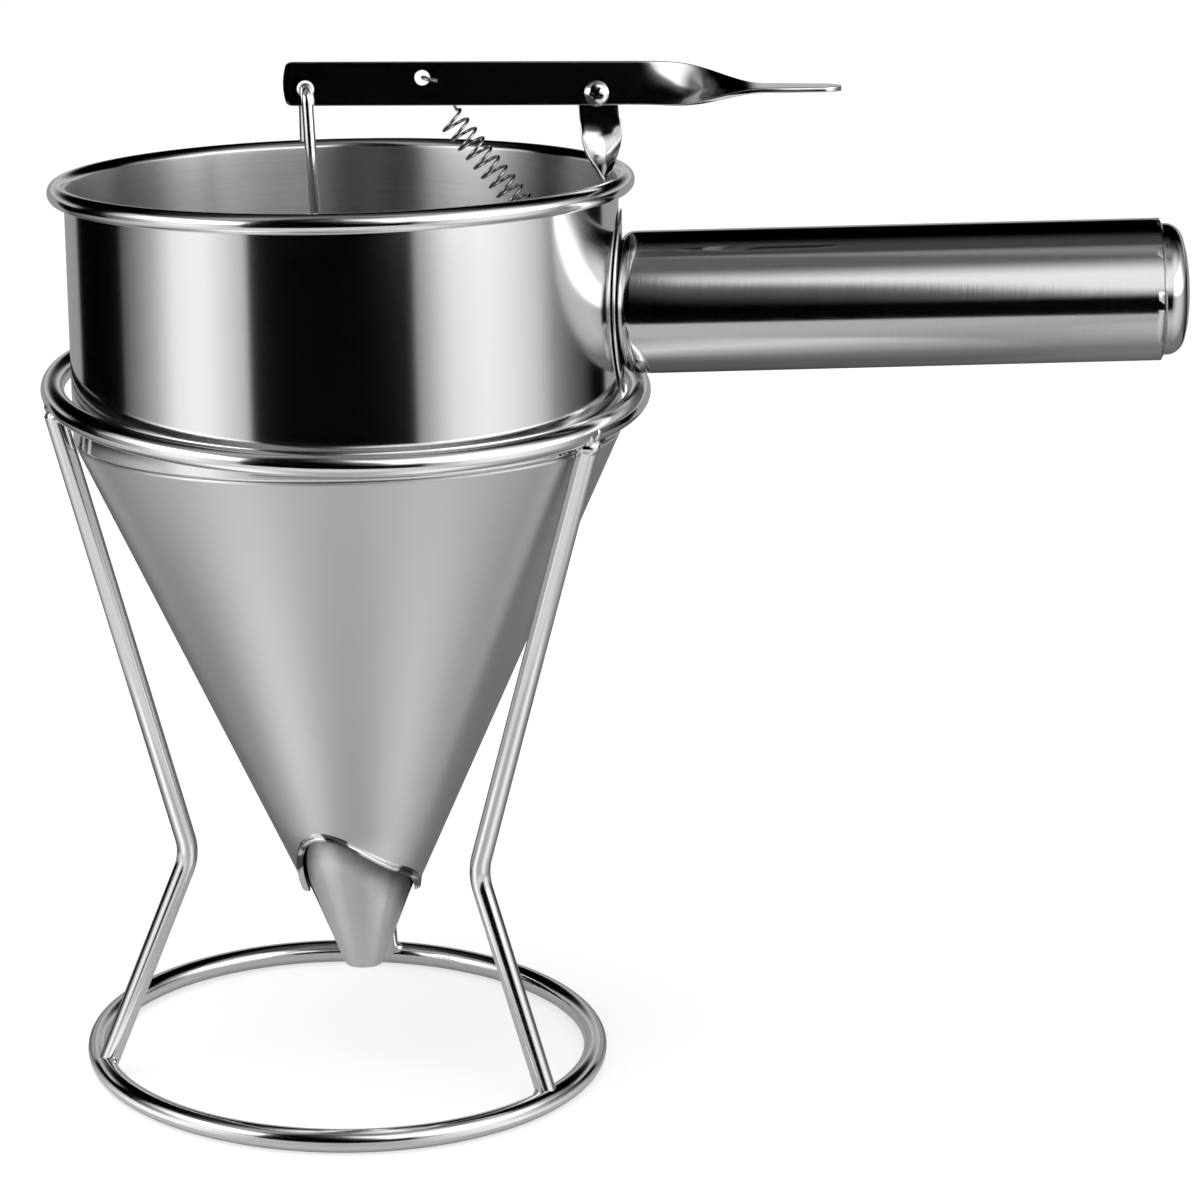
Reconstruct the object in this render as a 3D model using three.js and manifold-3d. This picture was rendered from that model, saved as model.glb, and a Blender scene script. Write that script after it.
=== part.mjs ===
// Batter dispenser: a steel funnel with a lever valve, standing in a bent-wire stand.
// Millimetres and degrees, +Z up, the handle along +X, the stand resting on the plane z = 0.

import * as THREE from "three";
import { mergeVertices } from "three/addons/utils/BufferGeometryUtils.js";
import Module from "manifold-3d";

const wasm = await Module();
wasm.setup();

// Clearances and facet counts
const gap = 0.3;
const overrun = 5;
const drillLength = 6;
const bowlFacets = 64;
const ringFacets = 64;
const handleFacets = 40;
const smallFacets = 18;
const wireSides = 12;
const mergeDistance = 0.0001;
const hair = 0.000001;
// Share of a straight run of wire that is kept beside a bend, so that the bend's ends stay square to it
const besideBendShare = 0.02;

// Funnel, measured from the middle of the upper ring along the funnel's own axis
const sheet = 0.8;
const bowlRadius = 66;
const rimRoll = 4;
const rimHeight = 48.8;
const rimCurlEnd = -120;
const shoulderHeight = -10.8;
const collarHeight = 3;
const outletHeight = -144.5;
const outletRadius = 4.65;

// The funnel leans in its ring: its top to the back, and its handle side up
const leanBack = 5;
const leanUp = 1.8;
const funnelForward = 0.5;
const funnelAside = 0.2;

// Stand: two wire rings joined by three legs that are drawn in at a waist
const wireRadius = 2.85;
const legWireRadius = 2.55;
const ringClearance = 1.55;
const topRingHeight = 173.1;
const topRingRadius = bowlRadius + ringClearance + wireRadius;
const baseRingRadius = 62;
const footInset = 0.5;
const waistRadius = 39.8;
const waistHeight = 56.8;
const waistBend = 11;
const legOutset = 0.8;
const legDrop = 2.5;
const legDegrees = { stand_leg_right: -34.5, stand_leg_back: 83, stand_leg_left: 197 };

// The cone's lower edge laps over the nozzle along a line that rises and falls twice a turn
const lapSheet = 0.5;
const lapGap = 0.36;
const seamRise = 28;
const seamWave = 9;
const seamTurn = -105;
const seamRipple = 2.1;
const seamRippleTurn = -121;
const nozzleRise = 41.5;
const nozzleBend = 18.5;

// Handle: an oval flange bent to the wall, a slightly flared tube coped to it and a domed cap
const handleHeight = 19.4;
const handleRise = 0.46;
const gripDrop = 0.9;
const flangeHalfHeight = 22.2;
const flangeHalfWidth = 16.6;
const flangeSheet = 0.5;
const flangeRings = 6;
const tubeClearance = 0.45;
const tubeReach = 129.4;
const tubeStartRadius = 17.1;
const tubeEndRadius = 17.05;
const tubeCorner = 3;
const tubeChamfer = 0.9;
const capInset = 0.5;
const capLength = 6.7;
const capSkirt = 8;
const capCorner = 4.2;
const capCrown = 1.4;

// Lever: a strap on edge that twists into a flat thumb pad, set out from its pivot
const strapSheet = 1.2;
const pivotInset = 4.7;
const pivotRise = 21;
const leverFall = 0.84;
const leverWidth = 10.4;
const leverLift = 2.3;
const leverBack = 74.3;
const leverFront = 57.9;
const twistStart = 13;
const twistEnd = 40;
const padDrop = 1.3;
const padEndWidth = 7.8;
const leverRound = 1.6;
const padRound = 4;
const hookReach = 69;
const hookLift = 1.1;
const hookHole = 2.05;
const springReach = 41.3;
const springLift = 3.7;
const springHole = 1.85;

// Pivot post: a strap that twists a quarter turn and runs down inside the wall to a bent tab
const strapWidth = 9.7;
const postGap = 0.7;
const postTop = 5.6;
const postTwistTop = 9.8;
const postTwistBottom = 23.8;
const postTail = 43.4;
const postRound = 3;
const tabReach = 5.6;
const tabFall = 8.6;
const tabHole = 1.2;
const tabHolePlace = 3.3;

// Pivot screw with its washer and nut
const washerSheet = 0.8;
const washerRadius = 3.4;
const screwRadius = 1.5;
const pivotHole = 1.85;
const headRadius = 2.9;
const headHeight = 2;
const recessWidth = 0.7;
const recessLength = 3.4;
const recessDepth = 1.1;
const nutWidth = 5.5;
const nutHeight = 2.4;
const screwTail = 1;

// Valve: a hooked rod that carries a soft plug down to the outlet
const rodRadius = 1.4;
const hookBend = 2.7;
const hookTail = 10;
const hookOffset = 0.5;
const rodRise = 6.5;
const plugRise = 11;
const plugSeatRise = 2.3;
const plugNoseRise = 0.9;
const plugNoseRadius = 2.6;
const plugShoulder = 1;
const plugGap = 0.55;
const plugBore = 1.95;
const plugBoreDepth = 6;

// Return spring
const springWire = 0.38;
const springRadius = 3.1;
const springPitch = 2.85;
const springSides = 5;
const springSteps = 8;
const springFirstStep = 3;
const coilAside = 5.4;
const coilDrop = 8.9;
const coilBehind = 0.2;
const springLead = 5;
const springRun = 5;
const springTail = 3.6;
const tailFallShare = 0.25;
const springHook = 2.6;

// Steps along the bent pieces
const beadSteps = 8;
const bendSteps = 8;
const leverSteps = 66;
const postSteps = 36;
const plugFacets = 32;

// Places that follow from the sizes
const rimRadius = bowlRadius + rimRoll;
const seamHeight = outletHeight + seamRise;
const nozzleTop = outletHeight + nozzleRise;
const nozzleBreak = outletHeight + nozzleBend;
const tubeStart = bowlRadius + gap + flangeSheet + tubeClearance;
const tubeEnd = bowlRadius + tubeReach;
const capEnd = tubeEnd + capLength;
const capRadius = tubeEndRadius - sheet - capInset;
const pivotX = bowlRadius - pivotInset;
const pivotZ = rimHeight + pivotRise;
const radians = THREE.MathUtils.degToRad;
const coneSlope = (bowlRadius - outletRadius) / (shoulderHeight - outletHeight);
const sheetAcross = sheet * Math.hypot(1, coneSlope);
const lapAcross = lapSheet * Math.hypot(1, coneSlope);
const strapFront = -strapSheet / 2;
const washerY = strapFront - gap - washerSheet / 2;
const leverY = washerY - washerSheet / 2 - gap - strapSheet / 2;
const headY = leverY - strapSheet / 2 - gap;
const nutY = strapSheet / 2 + gap;

// Finishes
const mirrorSteel = () => metal(0xd8d8da, 0.08);
const brushedSteel = () => metal(0xb9b8b6, 0.34);
const wireChrome = () => metal(0xdcdcde, 0.06);
const softPlug = () => new THREE.MeshStandardMaterial({ color: 0x2b2b2d, roughness: 0.7, metalness: 0 });

function metal(color, roughness) {
  return new THREE.MeshStandardMaterial({ color, roughness, metalness: 1 });
}

function piece(name, geometry, material) {
  const mesh = new THREE.Mesh(geometry, material);
  mesh.name = name;
  return mesh;
}

// A closed geometry as a solid that can be cut
function solidOf(geometry) {
  const bare = geometry.index ? geometry.toNonIndexed() : geometry.clone();
  bare.deleteAttribute("normal");
  bare.deleteAttribute("uv");
  const merged = mergeVertices(bare, mergeDistance);
  const vertProperties = merged.attributes.position.array;
  const triVerts = new Uint32Array(merged.index.array);
  return new wasm.Manifold(new wasm.Mesh({ numProp: 3, vertProperties, triVerts }));
}

function cut(geometry, ...tools) {
  let solid = solidOf(geometry);
  for (const tool of tools) solid = solid.subtract(solidOf(tool));
  const mesh = solid.getMesh();
  const made = new THREE.BufferGeometry();
  made.setAttribute("position", new THREE.BufferAttribute(mesh.vertProperties, 3));
  made.setIndex(new THREE.BufferAttribute(mesh.triVerts, 1));
  made.computeVertexNormals();
  return made;
}

// An outline of [radius, height] points turned about the Z axis
function turned(outline, facets) {
  const points = outline.map(([r, z]) => new THREE.Vector2(r, z));
  return new THREE.LatheGeometry(points, facets).rotateX(Math.PI / 2);
}

// The same outline turned about the X axis, its heights becoming places along X
function turnedAlongX(outline, facets) {
  return turned(outline, facets).rotateY(Math.PI / 2);
}

function arc(centreR, centreZ, radius, fromDegrees, toDegrees, steps) {
  const points = [];
  for (let i = 0; i <= steps; i++) {
    const turn = radians(fromDegrees + ((toDegrees - fromDegrees) * i) / steps);
    points.push([centreR + radius * Math.cos(turn), centreZ + radius * Math.sin(turn)]);
  }
  return points;
}

function moveEach(geometry, mover) {
  const position = geometry.attributes.position;
  const point = new THREE.Vector3();
  for (let i = 0; i < position.count; i++) {
    point.fromBufferAttribute(position, i);
    mover(point);
    position.setXYZ(i, point.x, point.y, point.z);
  }
  return geometry;
}

// A curve whose steps fall on its listed points, so a tight bend has its own steps
class WireLine extends THREE.CatmullRomCurve3 {
  constructor(points) {
    super(points, false, "centripetal");
  }
  getUtoTmapping(u) {
    return u;
  }
}

function wire(points, radius, sides) {
  const section = new THREE.Shape();
  for (let i = 0; i < sides; i++) {
    const turn = (2 * Math.PI * i) / sides;
    section[i ? "lineTo" : "moveTo"](radius * Math.cos(turn), radius * Math.sin(turn));
  }
  const extrudePath = new WireLine(points);
  const options = { steps: points.length - 1, bevelEnabled: false, extrudePath };
  return new THREE.ExtrudeGeometry(section, options);
}

// A straight line, a rounded corner and a second straight line, in the X-Z plane
function roundedCorner(from, corner, to, cutBack) {
  const start = corner.clone().lerp(from, cutBack / corner.distanceTo(from));
  const end = corner.clone().lerp(to, cutBack / corner.distanceTo(to));
  const bend = new THREE.QuadraticBezierCurve3(start, corner, end).getPoints(bendSteps);
  const before = from.clone().lerp(start, 1 - besideBendShare);
  const after = end.clone().lerp(to, besideBendShare);
  return [from, before, ...bend, after, to];
}

function smooth(value, low, high) {
  return THREE.MathUtils.smoothstep(value, low, high);
}

// Stand

function standRing(radius, height) {
  const ring = new THREE.TorusGeometry(radius, wireRadius, wireSides, ringFacets);
  return ring.translate(0, 0, height);
}

// A ring a clearance thicker than the wire, which copes the ends of the legs
function copingRing(radius, height) {
  const ring = new THREE.TorusGeometry(radius, wireRadius + gap, wireSides, ringFacets);
  return ring.translate(0, 0, height);
}

function standLeg(degrees) {
  const top = new THREE.Vector3(topRingRadius + legOutset, 0, topRingHeight - legDrop);
  const waist = new THREE.Vector3(waistRadius, 0, waistHeight);
  const foot = new THREE.Vector3(baseRingRadius - footInset, 0, wireRadius);
  const line = roundedCorner(top, waist, foot, waistBend);
  const leg = wire(line, legWireRadius, wireSides).rotateZ(radians(degrees));
  return cut(
    leg,
    copingRing(topRingRadius, topRingHeight),
    copingRing(baseRingRadius, wireRadius),
  );
}

function stand() {
  const group = new THREE.Group();
  group.add(piece("stand_top_ring", standRing(topRingRadius, topRingHeight), wireChrome()));
  group.add(piece("stand_base_ring", standRing(baseRingRadius, wireRadius), wireChrome()));
  for (const [name, degrees] of Object.entries(legDegrees)) {
    group.add(piece(name, standLeg(degrees), wireChrome()));
  }
  return group;
}

// Funnel body

// The wall's top edge curls outwards and down into a hollow bead
function bowlWall() {
  const inside = bowlRadius - sheet;
  const bead = (rimRadius - inside) / 2;
  const centre = rimRadius - bead;
  const outline = [
    [bowlRadius, shoulderHeight],
    ...arc(centre, rimHeight, bead - sheet, 180, rimCurlEnd, beadSteps - 1),
    ...arc(centre, rimHeight, bead, rimCurlEnd, 180, beadSteps + 1),
    [inside, shoulderHeight],
    [bowlRadius, shoulderHeight],
  ];
  return turned(outline, bowlFacets);
}

const coneRadius = (z) => bowlRadius + (z - shoulderHeight) * coneSlope;
const seamAt = (turn) =>
  seamHeight +
  seamWave * Math.cos(2 * (turn - radians(seamTurn))) +
  seamRipple * Math.cos(4 * (turn - radians(seamRippleTurn)));

// The cone's collar sits inside the wall, and its lower edge follows the wavy seam
function cone() {
  const collar = bowlRadius - sheet - gap;
  const top = shoulderHeight - gap;
  const level = seamHeight + seamWave + seamRipple;
  const edge = seamHeight - seamWave - seamRipple - overrun;
  const outline = [
    [coneRadius(edge), edge],
    [coneRadius(level), level],
    [coneRadius(top), top],
    [collar, top],
    [collar, top + collarHeight],
    [collar - sheet, top + collarHeight],
    [collar - sheet, top],
    [coneRadius(level) - sheetAcross, level],
    [coneRadius(edge) - lapAcross, edge],
    [coneRadius(edge), edge],
  ];
  return moveEach(turned(outline, bowlFacets), (p) => {
    if (p.z > edge + gap) return;
    const turn = Math.atan2(p.y, p.x);
    const across = coneRadius(edge) - Math.hypot(p.x, p.y);
    const z = seamAt(turn);
    const r = coneRadius(z) - across;
    p.set(r * Math.cos(turn), r * Math.sin(turn), z);
  });
}

const nozzleRadius = (z) =>
  z > nozzleBreak
    ? coneRadius(z) - sheetAcross - lapGap * Math.hypot(1, coneSlope)
    : THREE.MathUtils.mapLinear(z, nozzleBreak, outletHeight, nozzleRadius(nozzleBreak + hair), outletRadius);

function nozzle() {
  const lip = sheet / 2;
  const outline = [
    [outletRadius - lip, outletHeight],
    [outletRadius, outletHeight + lip],
    [nozzleRadius(nozzleBreak), nozzleBreak],
    [nozzleRadius(nozzleTop), nozzleTop],
    [nozzleRadius(nozzleTop) - sheetAcross, nozzleTop],
    [nozzleRadius(nozzleBreak) - sheetAcross, nozzleBreak],
    [outletRadius - sheetAcross, outletHeight + lip],
    [outletRadius - sheetAcross, outletHeight],
    [outletRadius - lip, outletHeight],
  ];
  return turned(outline, handleFacets);
}

// Handle

// Bends what lies round the X axis to the wall's curve, keeping its distance from the wall
function bentToWall(point) {
  point.x = Math.sqrt(point.x ** 2 - point.y ** 2);
}

function flange() {
  const ring = (i) => (flangeHalfHeight * i) / flangeRings;
  const outline = [];
  for (let i = 0; i <= flangeRings; i++) outline.push([ring(i), bowlRadius + gap]);
  for (let i = flangeRings; i >= 0; i--) outline.push([ring(i), bowlRadius + gap + flangeSheet]);
  return moveEach(turnedAlongX(outline, handleFacets), (p) => {
    p.y *= flangeHalfWidth / flangeHalfHeight;
    bentToWall(p);
  });
}

// The tube's rounded inner end follows the flange
function handleTube() {
  const endRound = arc(tubeStartRadius - tubeCorner, tubeStart + tubeCorner, tubeCorner, -90, 0, 4);
  const outline = [
    ...endRound,
    [tubeEndRadius, tubeEnd - tubeChamfer],
    [tubeEndRadius - tubeChamfer / 2, tubeEnd],
    [tubeEndRadius - sheet, tubeEnd],
    [tubeStartRadius - sheet, tubeStart + tubeCorner],
    [tubeStartRadius - tubeCorner, tubeStart + sheet],
    endRound[0],
  ];
  return moveEach(turnedAlongX(outline, handleFacets), (p) => {
    if (p.x <= tubeStart + tubeCorner) bentToWall(p);
  });
}

function handleCap() {
  const corner = capEnd - capCrown - capCorner;
  const outline = [
    [capRadius - sheet, tubeEnd - capSkirt],
    [capRadius, tubeEnd - capSkirt],
    ...arc(capRadius - capCorner, corner, capCorner, 0, 80, 5),
    [0, capEnd],
    [0, capEnd - sheet],
    ...arc(capRadius - capCorner, corner, capCorner - sheet, 80, 0, 4),
    [capRadius - sheet, tubeEnd - capSkirt],
  ];
  return turnedAlongX(outline, handleFacets);
}

function handle() {
  const group = new THREE.Group();
  group.position.z = handleHeight;
  group.add(piece("handle_flange", flange(), mirrorSteel()));
  const grip = new THREE.Group();
  grip.rotation.y = -radians(handleRise);
  grip.position.z = -gripDrop;
  grip.add(piece("handle_tube", handleTube(), brushedSteel()));
  grip.add(piece("handle_cap", handleCap(), brushedSteel()));
  group.add(grip);
  return group;
}

// Pivot post and its fasteners

// A box mapped onto a bent line: s runs along it, u through its thickness, v across its width
function strap(length, width, along, mapper) {
  const box = new THREE.BoxGeometry(length, strapSheet, width, along, 1, 2);
  box.translate(length / 2, 0, 0);
  return moveEach(box, (p) => mapper(p, p.x, p.y, p.z));
}

function postPoint(line, s) {
  const share = THREE.MathUtils.clamp(s / line.getLength(), 0, 1);
  const at = line.getPointAt(share);
  const tangent = line.getTangentAt(share);
  return { at, tangent };
}

// The post's middle line: down from the pivot, outwards to the wall, then in along the tab
function postCurve() {
  const wallX = bowlRadius - sheet - postGap - strapSheet / 2;
  const across = (share) => THREE.MathUtils.lerp(pivotX, wallX, share);
  const bend = pivotZ - postTail;
  const points = [
    [pivotX, pivotZ + postTop],
    [across(0.25), pivotZ - postTwistTop],
    [across(0.5), (2 * pivotZ - postTwistTop - postTwistBottom) / 2],
    [across(0.8), pivotZ - postTwistBottom],
    [wallX, (pivotZ - postTwistBottom + bend) / 2],
    [wallX, bend],
    [wallX - 0.1 * tabReach, bend - 0.28 * tabFall],
    [wallX - 0.33 * tabReach, bend - 0.53 * tabFall],
    [wallX - 0.7 * tabReach, bend - 0.79 * tabFall],
    [wallX - tabReach, bend - tabFall],
  ];
  return new THREE.CatmullRomCurve3(points.map(([x, z]) => new THREE.Vector3(x, 0, z)));
}

function pivotPost() {
  const line = postCurve();
  const length = line.getLength();
  const blank = strap(length, strapWidth, postSteps, (p, s, u, v) => {
    const { at, tangent } = postPoint(line, s);
    const turn = (Math.PI / 2) * (1 - smooth(at.z, pivotZ - postTwistBottom, pivotZ - postTwistTop));
    const nearEnd = Math.min(s, length - s);
    const rounding = nearEnd < postRound ? 1 - 0.45 * (1 - nearEnd / postRound) ** 2 : 1;
    const side = new THREE.Vector3(Math.cos(turn), Math.sin(turn), 0);
    side.addScaledVector(tangent, -side.dot(tangent)).normalize();
    const face = side.clone().cross(tangent);
    p.copy(at).addScaledVector(side, v * rounding).addScaledVector(face, u);
  });
  const { at, tangent } = postPoint(line, length - tabHolePlace);
  const tabFace = new THREE.Vector3(tangent.z, 0, -tangent.x);
  const aim = new THREE.Quaternion().setFromUnitVectors(new THREE.Vector3(0, 1, 0), tabFace);
  const tabDrill = drill(tabHole).applyQuaternion(aim).translate(at.x, at.y, at.z);
  return cut(blank, drill(pivotHole).translate(pivotX, 0, pivotZ), tabDrill);
}

// A round tool along Y, long enough to pass through any strap
function drill(radius) {
  return new THREE.CylinderGeometry(radius, radius, drillLength, smallFacets);
}

function pivotScrew() {
  const tail = nutY + nutHeight + screwTail - headY;
  const head = [
    [0, -headHeight],
    [headRadius / 2, -headHeight],
    [headRadius * 0.85, -headHeight * 0.8],
    [headRadius, -headHeight * 0.35],
    [headRadius, 0],
    [screwRadius, 0],
    [screwRadius, tail],
    [0, tail],
  ];
  const screw = turned(head, smallFacets).rotateX(-Math.PI / 2);
  const slot = (length, width) =>
    new THREE.BoxGeometry(length, 2 * recessDepth, width).translate(0, -headHeight, 0);
  const crossed = cut(screw, slot(recessLength, recessWidth), slot(recessWidth, recessLength));
  return crossed.translate(pivotX, headY, pivotZ);
}

// A flat ring of any outline, its face across Y
function plate(outline, hole, thickness, y) {
  const shape = new THREE.Shape(outline);
  shape.holes.push(new THREE.Path().absarc(0, 0, hole, 0, 2 * Math.PI, true));
  const options = { depth: thickness, bevelEnabled: false, curveSegments: smallFacets };
  return new THREE.ExtrudeGeometry(shape, options).rotateX(Math.PI / 2).translate(pivotX, y, pivotZ);
}

function polygon(radius, sides) {
  const points = [];
  for (let i = 0; i < sides; i++) {
    const turn = (2 * Math.PI * i) / sides;
    points.push(new THREE.Vector2(radius * Math.cos(turn), radius * Math.sin(turn)));
  }
  return points;
}

function pivotWasher() {
  return plate(polygon(washerRadius, smallFacets), pivotHole, washerSheet, washerY + washerSheet / 2);
}

function pivotNut() {
  const corner = nutWidth / 2 / Math.cos(Math.PI / 6);
  return plate(polygon(corner, 6), pivotHole, nutHeight, nutY + nutHeight);
}

// Lever

const leverTurn = (x) => (Math.PI / 2) * smooth(x, twistStart, twistEnd);

function leverWidthShare(x) {
  const fromLeft = x + leverBack;
  const fromRight = leverFront - x;
  const narrowing = THREE.MathUtils.lerp(1, padEndWidth / leverWidth, smooth(x, twistEnd, leverFront));
  if (fromLeft < leverRound) return 1 - 0.12 * (1 - fromLeft / leverRound) ** 2;
  if (fromRight < padRound) return narrowing * (1 - 0.8 * (1 - fromRight / padRound) ** 2);
  return narrowing;
}

function leverStrap() {
  const length = leverFront + leverBack;
  const blank = strap(length, leverWidth, leverSteps, (p, s, u, v) => {
    const x = s - leverBack;
    const turn = leverTurn(x);
    const across = v * leverWidthShare(x);
    const lift = leverLift - padDrop * smooth(x, twistStart, twistEnd);
    p.y = u * Math.cos(turn) + across * Math.sin(turn);
    p.z = lift - u * Math.sin(turn) + across * Math.cos(turn);
    p.x = x;
  });
  return cut(
    blank,
    drill(pivotHole),
    drill(hookHole).translate(-hookReach, 0, hookLift),
    drill(springHole).translate(-springReach, 0, springLift),
  );
}

function lever() {
  const group = new THREE.Group();
  group.position.set(pivotX, leverY, pivotZ);
  group.rotation.y = radians(leverFall);
  group.add(piece("lever", leverStrap(), mirrorSteel()));
  return group;
}

// A place on the lever as a place on the funnel
function onLever(reach, lift) {
  const turn = radians(leverFall);
  const x = pivotX - reach * Math.cos(turn) + lift * Math.sin(turn);
  return new THREE.Vector3(x, leverY, pivotZ + reach * Math.sin(turn) + lift * Math.cos(turn));
}

// Valve

function valveRod() {
  const hole = onLever(hookReach, hookLift);
  const foot = hole.z - hookBend;
  const arch = arc(leverY, foot, hookBend, 0, 180, bendSteps).map(([y, z]) => {
    const side = (hookOffset * (leverY - y)) / hookBend;
    return new THREE.Vector3(hole.x + side, y, z);
  });
  const tail = arch[0].clone();
  tail.z -= hookTail;
  const end = new THREE.Vector3(0, 0, outletHeight + rodRise);
  const below = arch[bendSteps].clone().lerp(end, besideBendShare / 2);
  const above = tail.clone().lerp(arch[0], 1 - 2 * besideBendShare);
  return wire([tail, above, ...arch, below, end], rodRadius, wireSides);
}

// The plug's flank runs a clearance inside the nozzle, and a blind bore takes the rod
function valvePlug() {
  const inside = (z) => nozzleRadius(z) - sheetAcross - plugGap;
  const top = outletHeight + plugRise;
  const seat = outletHeight + plugSeatRise;
  const nose = outletHeight + plugNoseRise;
  const outline = [
    [0, nose],
    [plugNoseRadius, nose],
    [inside(seat), seat],
    [inside(top), top - gap],
    [inside(top) - plugShoulder, top],
    [plugBore, top],
    [plugBore, top - plugBoreDepth],
    [0, top - plugBoreDepth],
  ];
  return turned(outline, plugFacets);
}

// Return spring: a tail through the lever, a close run of curls, and a tail through the post's tab

function springLine() {
  const hole = onLever(springReach, springLift);
  const front = leverY - strapSheet / 2 - gap - 2 * springWire;
  const behind = leverY + strapSheet / 2 + gap + 2 * springWire;
  const post = postCurve();
  const tab = postPoint(post, post.getLength() - tabHolePlace).at;
  const start = new THREE.Vector3(hole.x + coilAside, coilBehind, hole.z - coilDrop);
  const along = tab.clone().sub(start).normalize();
  const end = tab.clone().addScaledVector(along, -springRun);
  const turns = Math.round(end.distanceTo(start) / springPitch);
  const side = new THREE.Vector3(0, 1, 0).cross(along).normalize();
  const other = along.clone().cross(side);
  const coil = [];
  for (let i = springFirstStep; i <= turns * springSteps; i++) {
    const turn = (2 * Math.PI * i) / springSteps;
    const centre = start.clone().lerp(end, i / (turns * springSteps));
    centre.addScaledVector(side, springRadius * Math.cos(turn));
    coil.push(centre.addScaledVector(other, springRadius * Math.sin(turn)));
  }
  const lead = coil[0].clone().add(new THREE.Vector3(-springLead / 2, 0, springLead));
  const tail = (share, y) =>
    new THREE.Vector3(hole.x + share * springTail, y, hole.z - tailFallShare * share * springTail);
  return [
    tail(1, front),
    tail(0.4, front),
    tail(0.1, (front + leverY) / 2),
    tail(0, leverY),
    tail(0.15, behind),
    lead,
    ...coil,
    end.clone().addScaledVector(along, 0.4 * springRun),
    tab,
    tab.clone().addScaledVector(along, 0.6 * springHook),
    tab.clone().addScaledVector(along, springHook),
  ];
}

// The least clear distance between turns of the spring, measured between its points
function leastGap(points, radius, skip) {
  let least = Infinity;
  points.forEach((a, i) => {
    for (let j = i + skip; j < points.length; j++) least = Math.min(least, a.distanceTo(points[j]));
  });
  return least - 2 * radius;
}

function returnSpring() {
  const line = springLine();
  console.log(`return_spring: least gap to itself ${leastGap(line, springWire, 4).toFixed(2)} mm`);
  return wire(line, springWire, springSides);
}

function funnel() {
  const group = new THREE.Group();
  group.rotation.set(-radians(leanBack), -radians(leanUp), 0, "YXZ");
  group.position.set(funnelAside, -funnelForward, topRingHeight);
  group.add(piece("funnel_wall", bowlWall(), mirrorSteel()));
  group.add(piece("funnel_cone", cone(), brushedSteel()));
  group.add(piece("nozzle", nozzle(), brushedSteel()));
  group.add(handle());
  group.add(piece("pivot_post", pivotPost(), mirrorSteel()));
  group.add(piece("pivot_screw", pivotScrew(), wireChrome()));
  group.add(piece("pivot_washer", pivotWasher(), wireChrome()));
  group.add(piece("pivot_nut", pivotNut(), wireChrome()));
  group.add(lever());
  group.add(piece("valve_rod", valveRod(), wireChrome()));
  group.add(piece("valve_plug", valvePlug(), softPlug()));
  group.add(piece("return_spring", returnSpring(), wireChrome()));
  return group;
}

// The origin is the middle of the whole object's footprint, on the table
function dispenser() {
  const group = new THREE.Group();
  group.add(stand(), funnel());
  const box = new THREE.Box3().setFromObject(group, true);
  const middle = box.getCenter(new THREE.Vector3());
  group.position.set(-middle.x, -middle.y, -box.min.z);
  return group;
}

const group = dispenser();

export default group;
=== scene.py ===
"""Batter dispenser: a steel funnel with a lever valve in a bent-wire stand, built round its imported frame.

Shapes are written in millimetres in the frame of the group that carries them, and placed in metres.
"""

import math

import bmesh
import bpy
from mathutils import Euler, Matrix, Vector


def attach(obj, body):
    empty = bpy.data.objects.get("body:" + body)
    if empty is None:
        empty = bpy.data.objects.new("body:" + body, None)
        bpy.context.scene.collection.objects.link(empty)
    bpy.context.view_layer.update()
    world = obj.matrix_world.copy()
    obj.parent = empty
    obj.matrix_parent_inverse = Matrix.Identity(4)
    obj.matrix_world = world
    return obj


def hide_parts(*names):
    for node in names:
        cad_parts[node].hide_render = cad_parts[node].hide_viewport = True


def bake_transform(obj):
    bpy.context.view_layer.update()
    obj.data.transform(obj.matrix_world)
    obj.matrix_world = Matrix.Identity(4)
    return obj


bl_info = {
    "name": "Batter dispenser",
    "version": (1, 0, 0),
    "blender": (4, 5, 0),
    "location": "3D View > Sidebar > Dispenser",
    "description": "Builds the visible pieces of a batter dispenser round its packed frame",
    "category": "Object",
}

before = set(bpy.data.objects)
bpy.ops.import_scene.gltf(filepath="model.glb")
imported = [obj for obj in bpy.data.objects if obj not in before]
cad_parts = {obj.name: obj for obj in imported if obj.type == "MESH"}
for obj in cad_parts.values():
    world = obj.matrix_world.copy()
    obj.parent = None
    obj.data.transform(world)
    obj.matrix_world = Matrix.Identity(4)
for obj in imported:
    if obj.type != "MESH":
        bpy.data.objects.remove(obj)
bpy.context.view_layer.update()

MM = 0.001


# Places and sizes in millimetres, as the frame has them

ROOT = Vector((-64.157, -0.1103, 0))
SHEET = 0.8
BOWL_RADIUS = 66
RIM_ROLL = 4
RIM_HEIGHT = 48.8
RIM_RADIUS = BOWL_RADIUS + RIM_ROLL
RIM_CURL_END = -120
INSIDE_MARGIN = 0.5
SHOULDER = -10.8
SHOULDER_EDGE = 0.35
COLLAR_HEIGHT = 3
GAP = 0.3
OUTLET_HEIGHT = -144.5
OUTLET_RADIUS = 4.65
CONE_SLOPE = (BOWL_RADIUS - OUTLET_RADIUS) / (SHOULDER - OUTLET_HEIGHT)
ACROSS = math.hypot(1, CONE_SLOPE)

RING_WIRE = 2.85
LEG_WIRE = 2.55
TOP_RING_HEIGHT = 173.1
TOP_RING_RADIUS = 70.4
BASE_RING_RADIUS = 62
WAIST_RADIUS = 39.8
WAIST_HEIGHT = 56.8
WAIST_BEND = 13
LEG_TOP_RADIUS = 71.2
LEG_TOP_HEIGHT = 170.6
LEG_FOOT_RADIUS = 61.5
LEG_DEGREES = {"right": -34.5, "back": 83, "left": 197}

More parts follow.
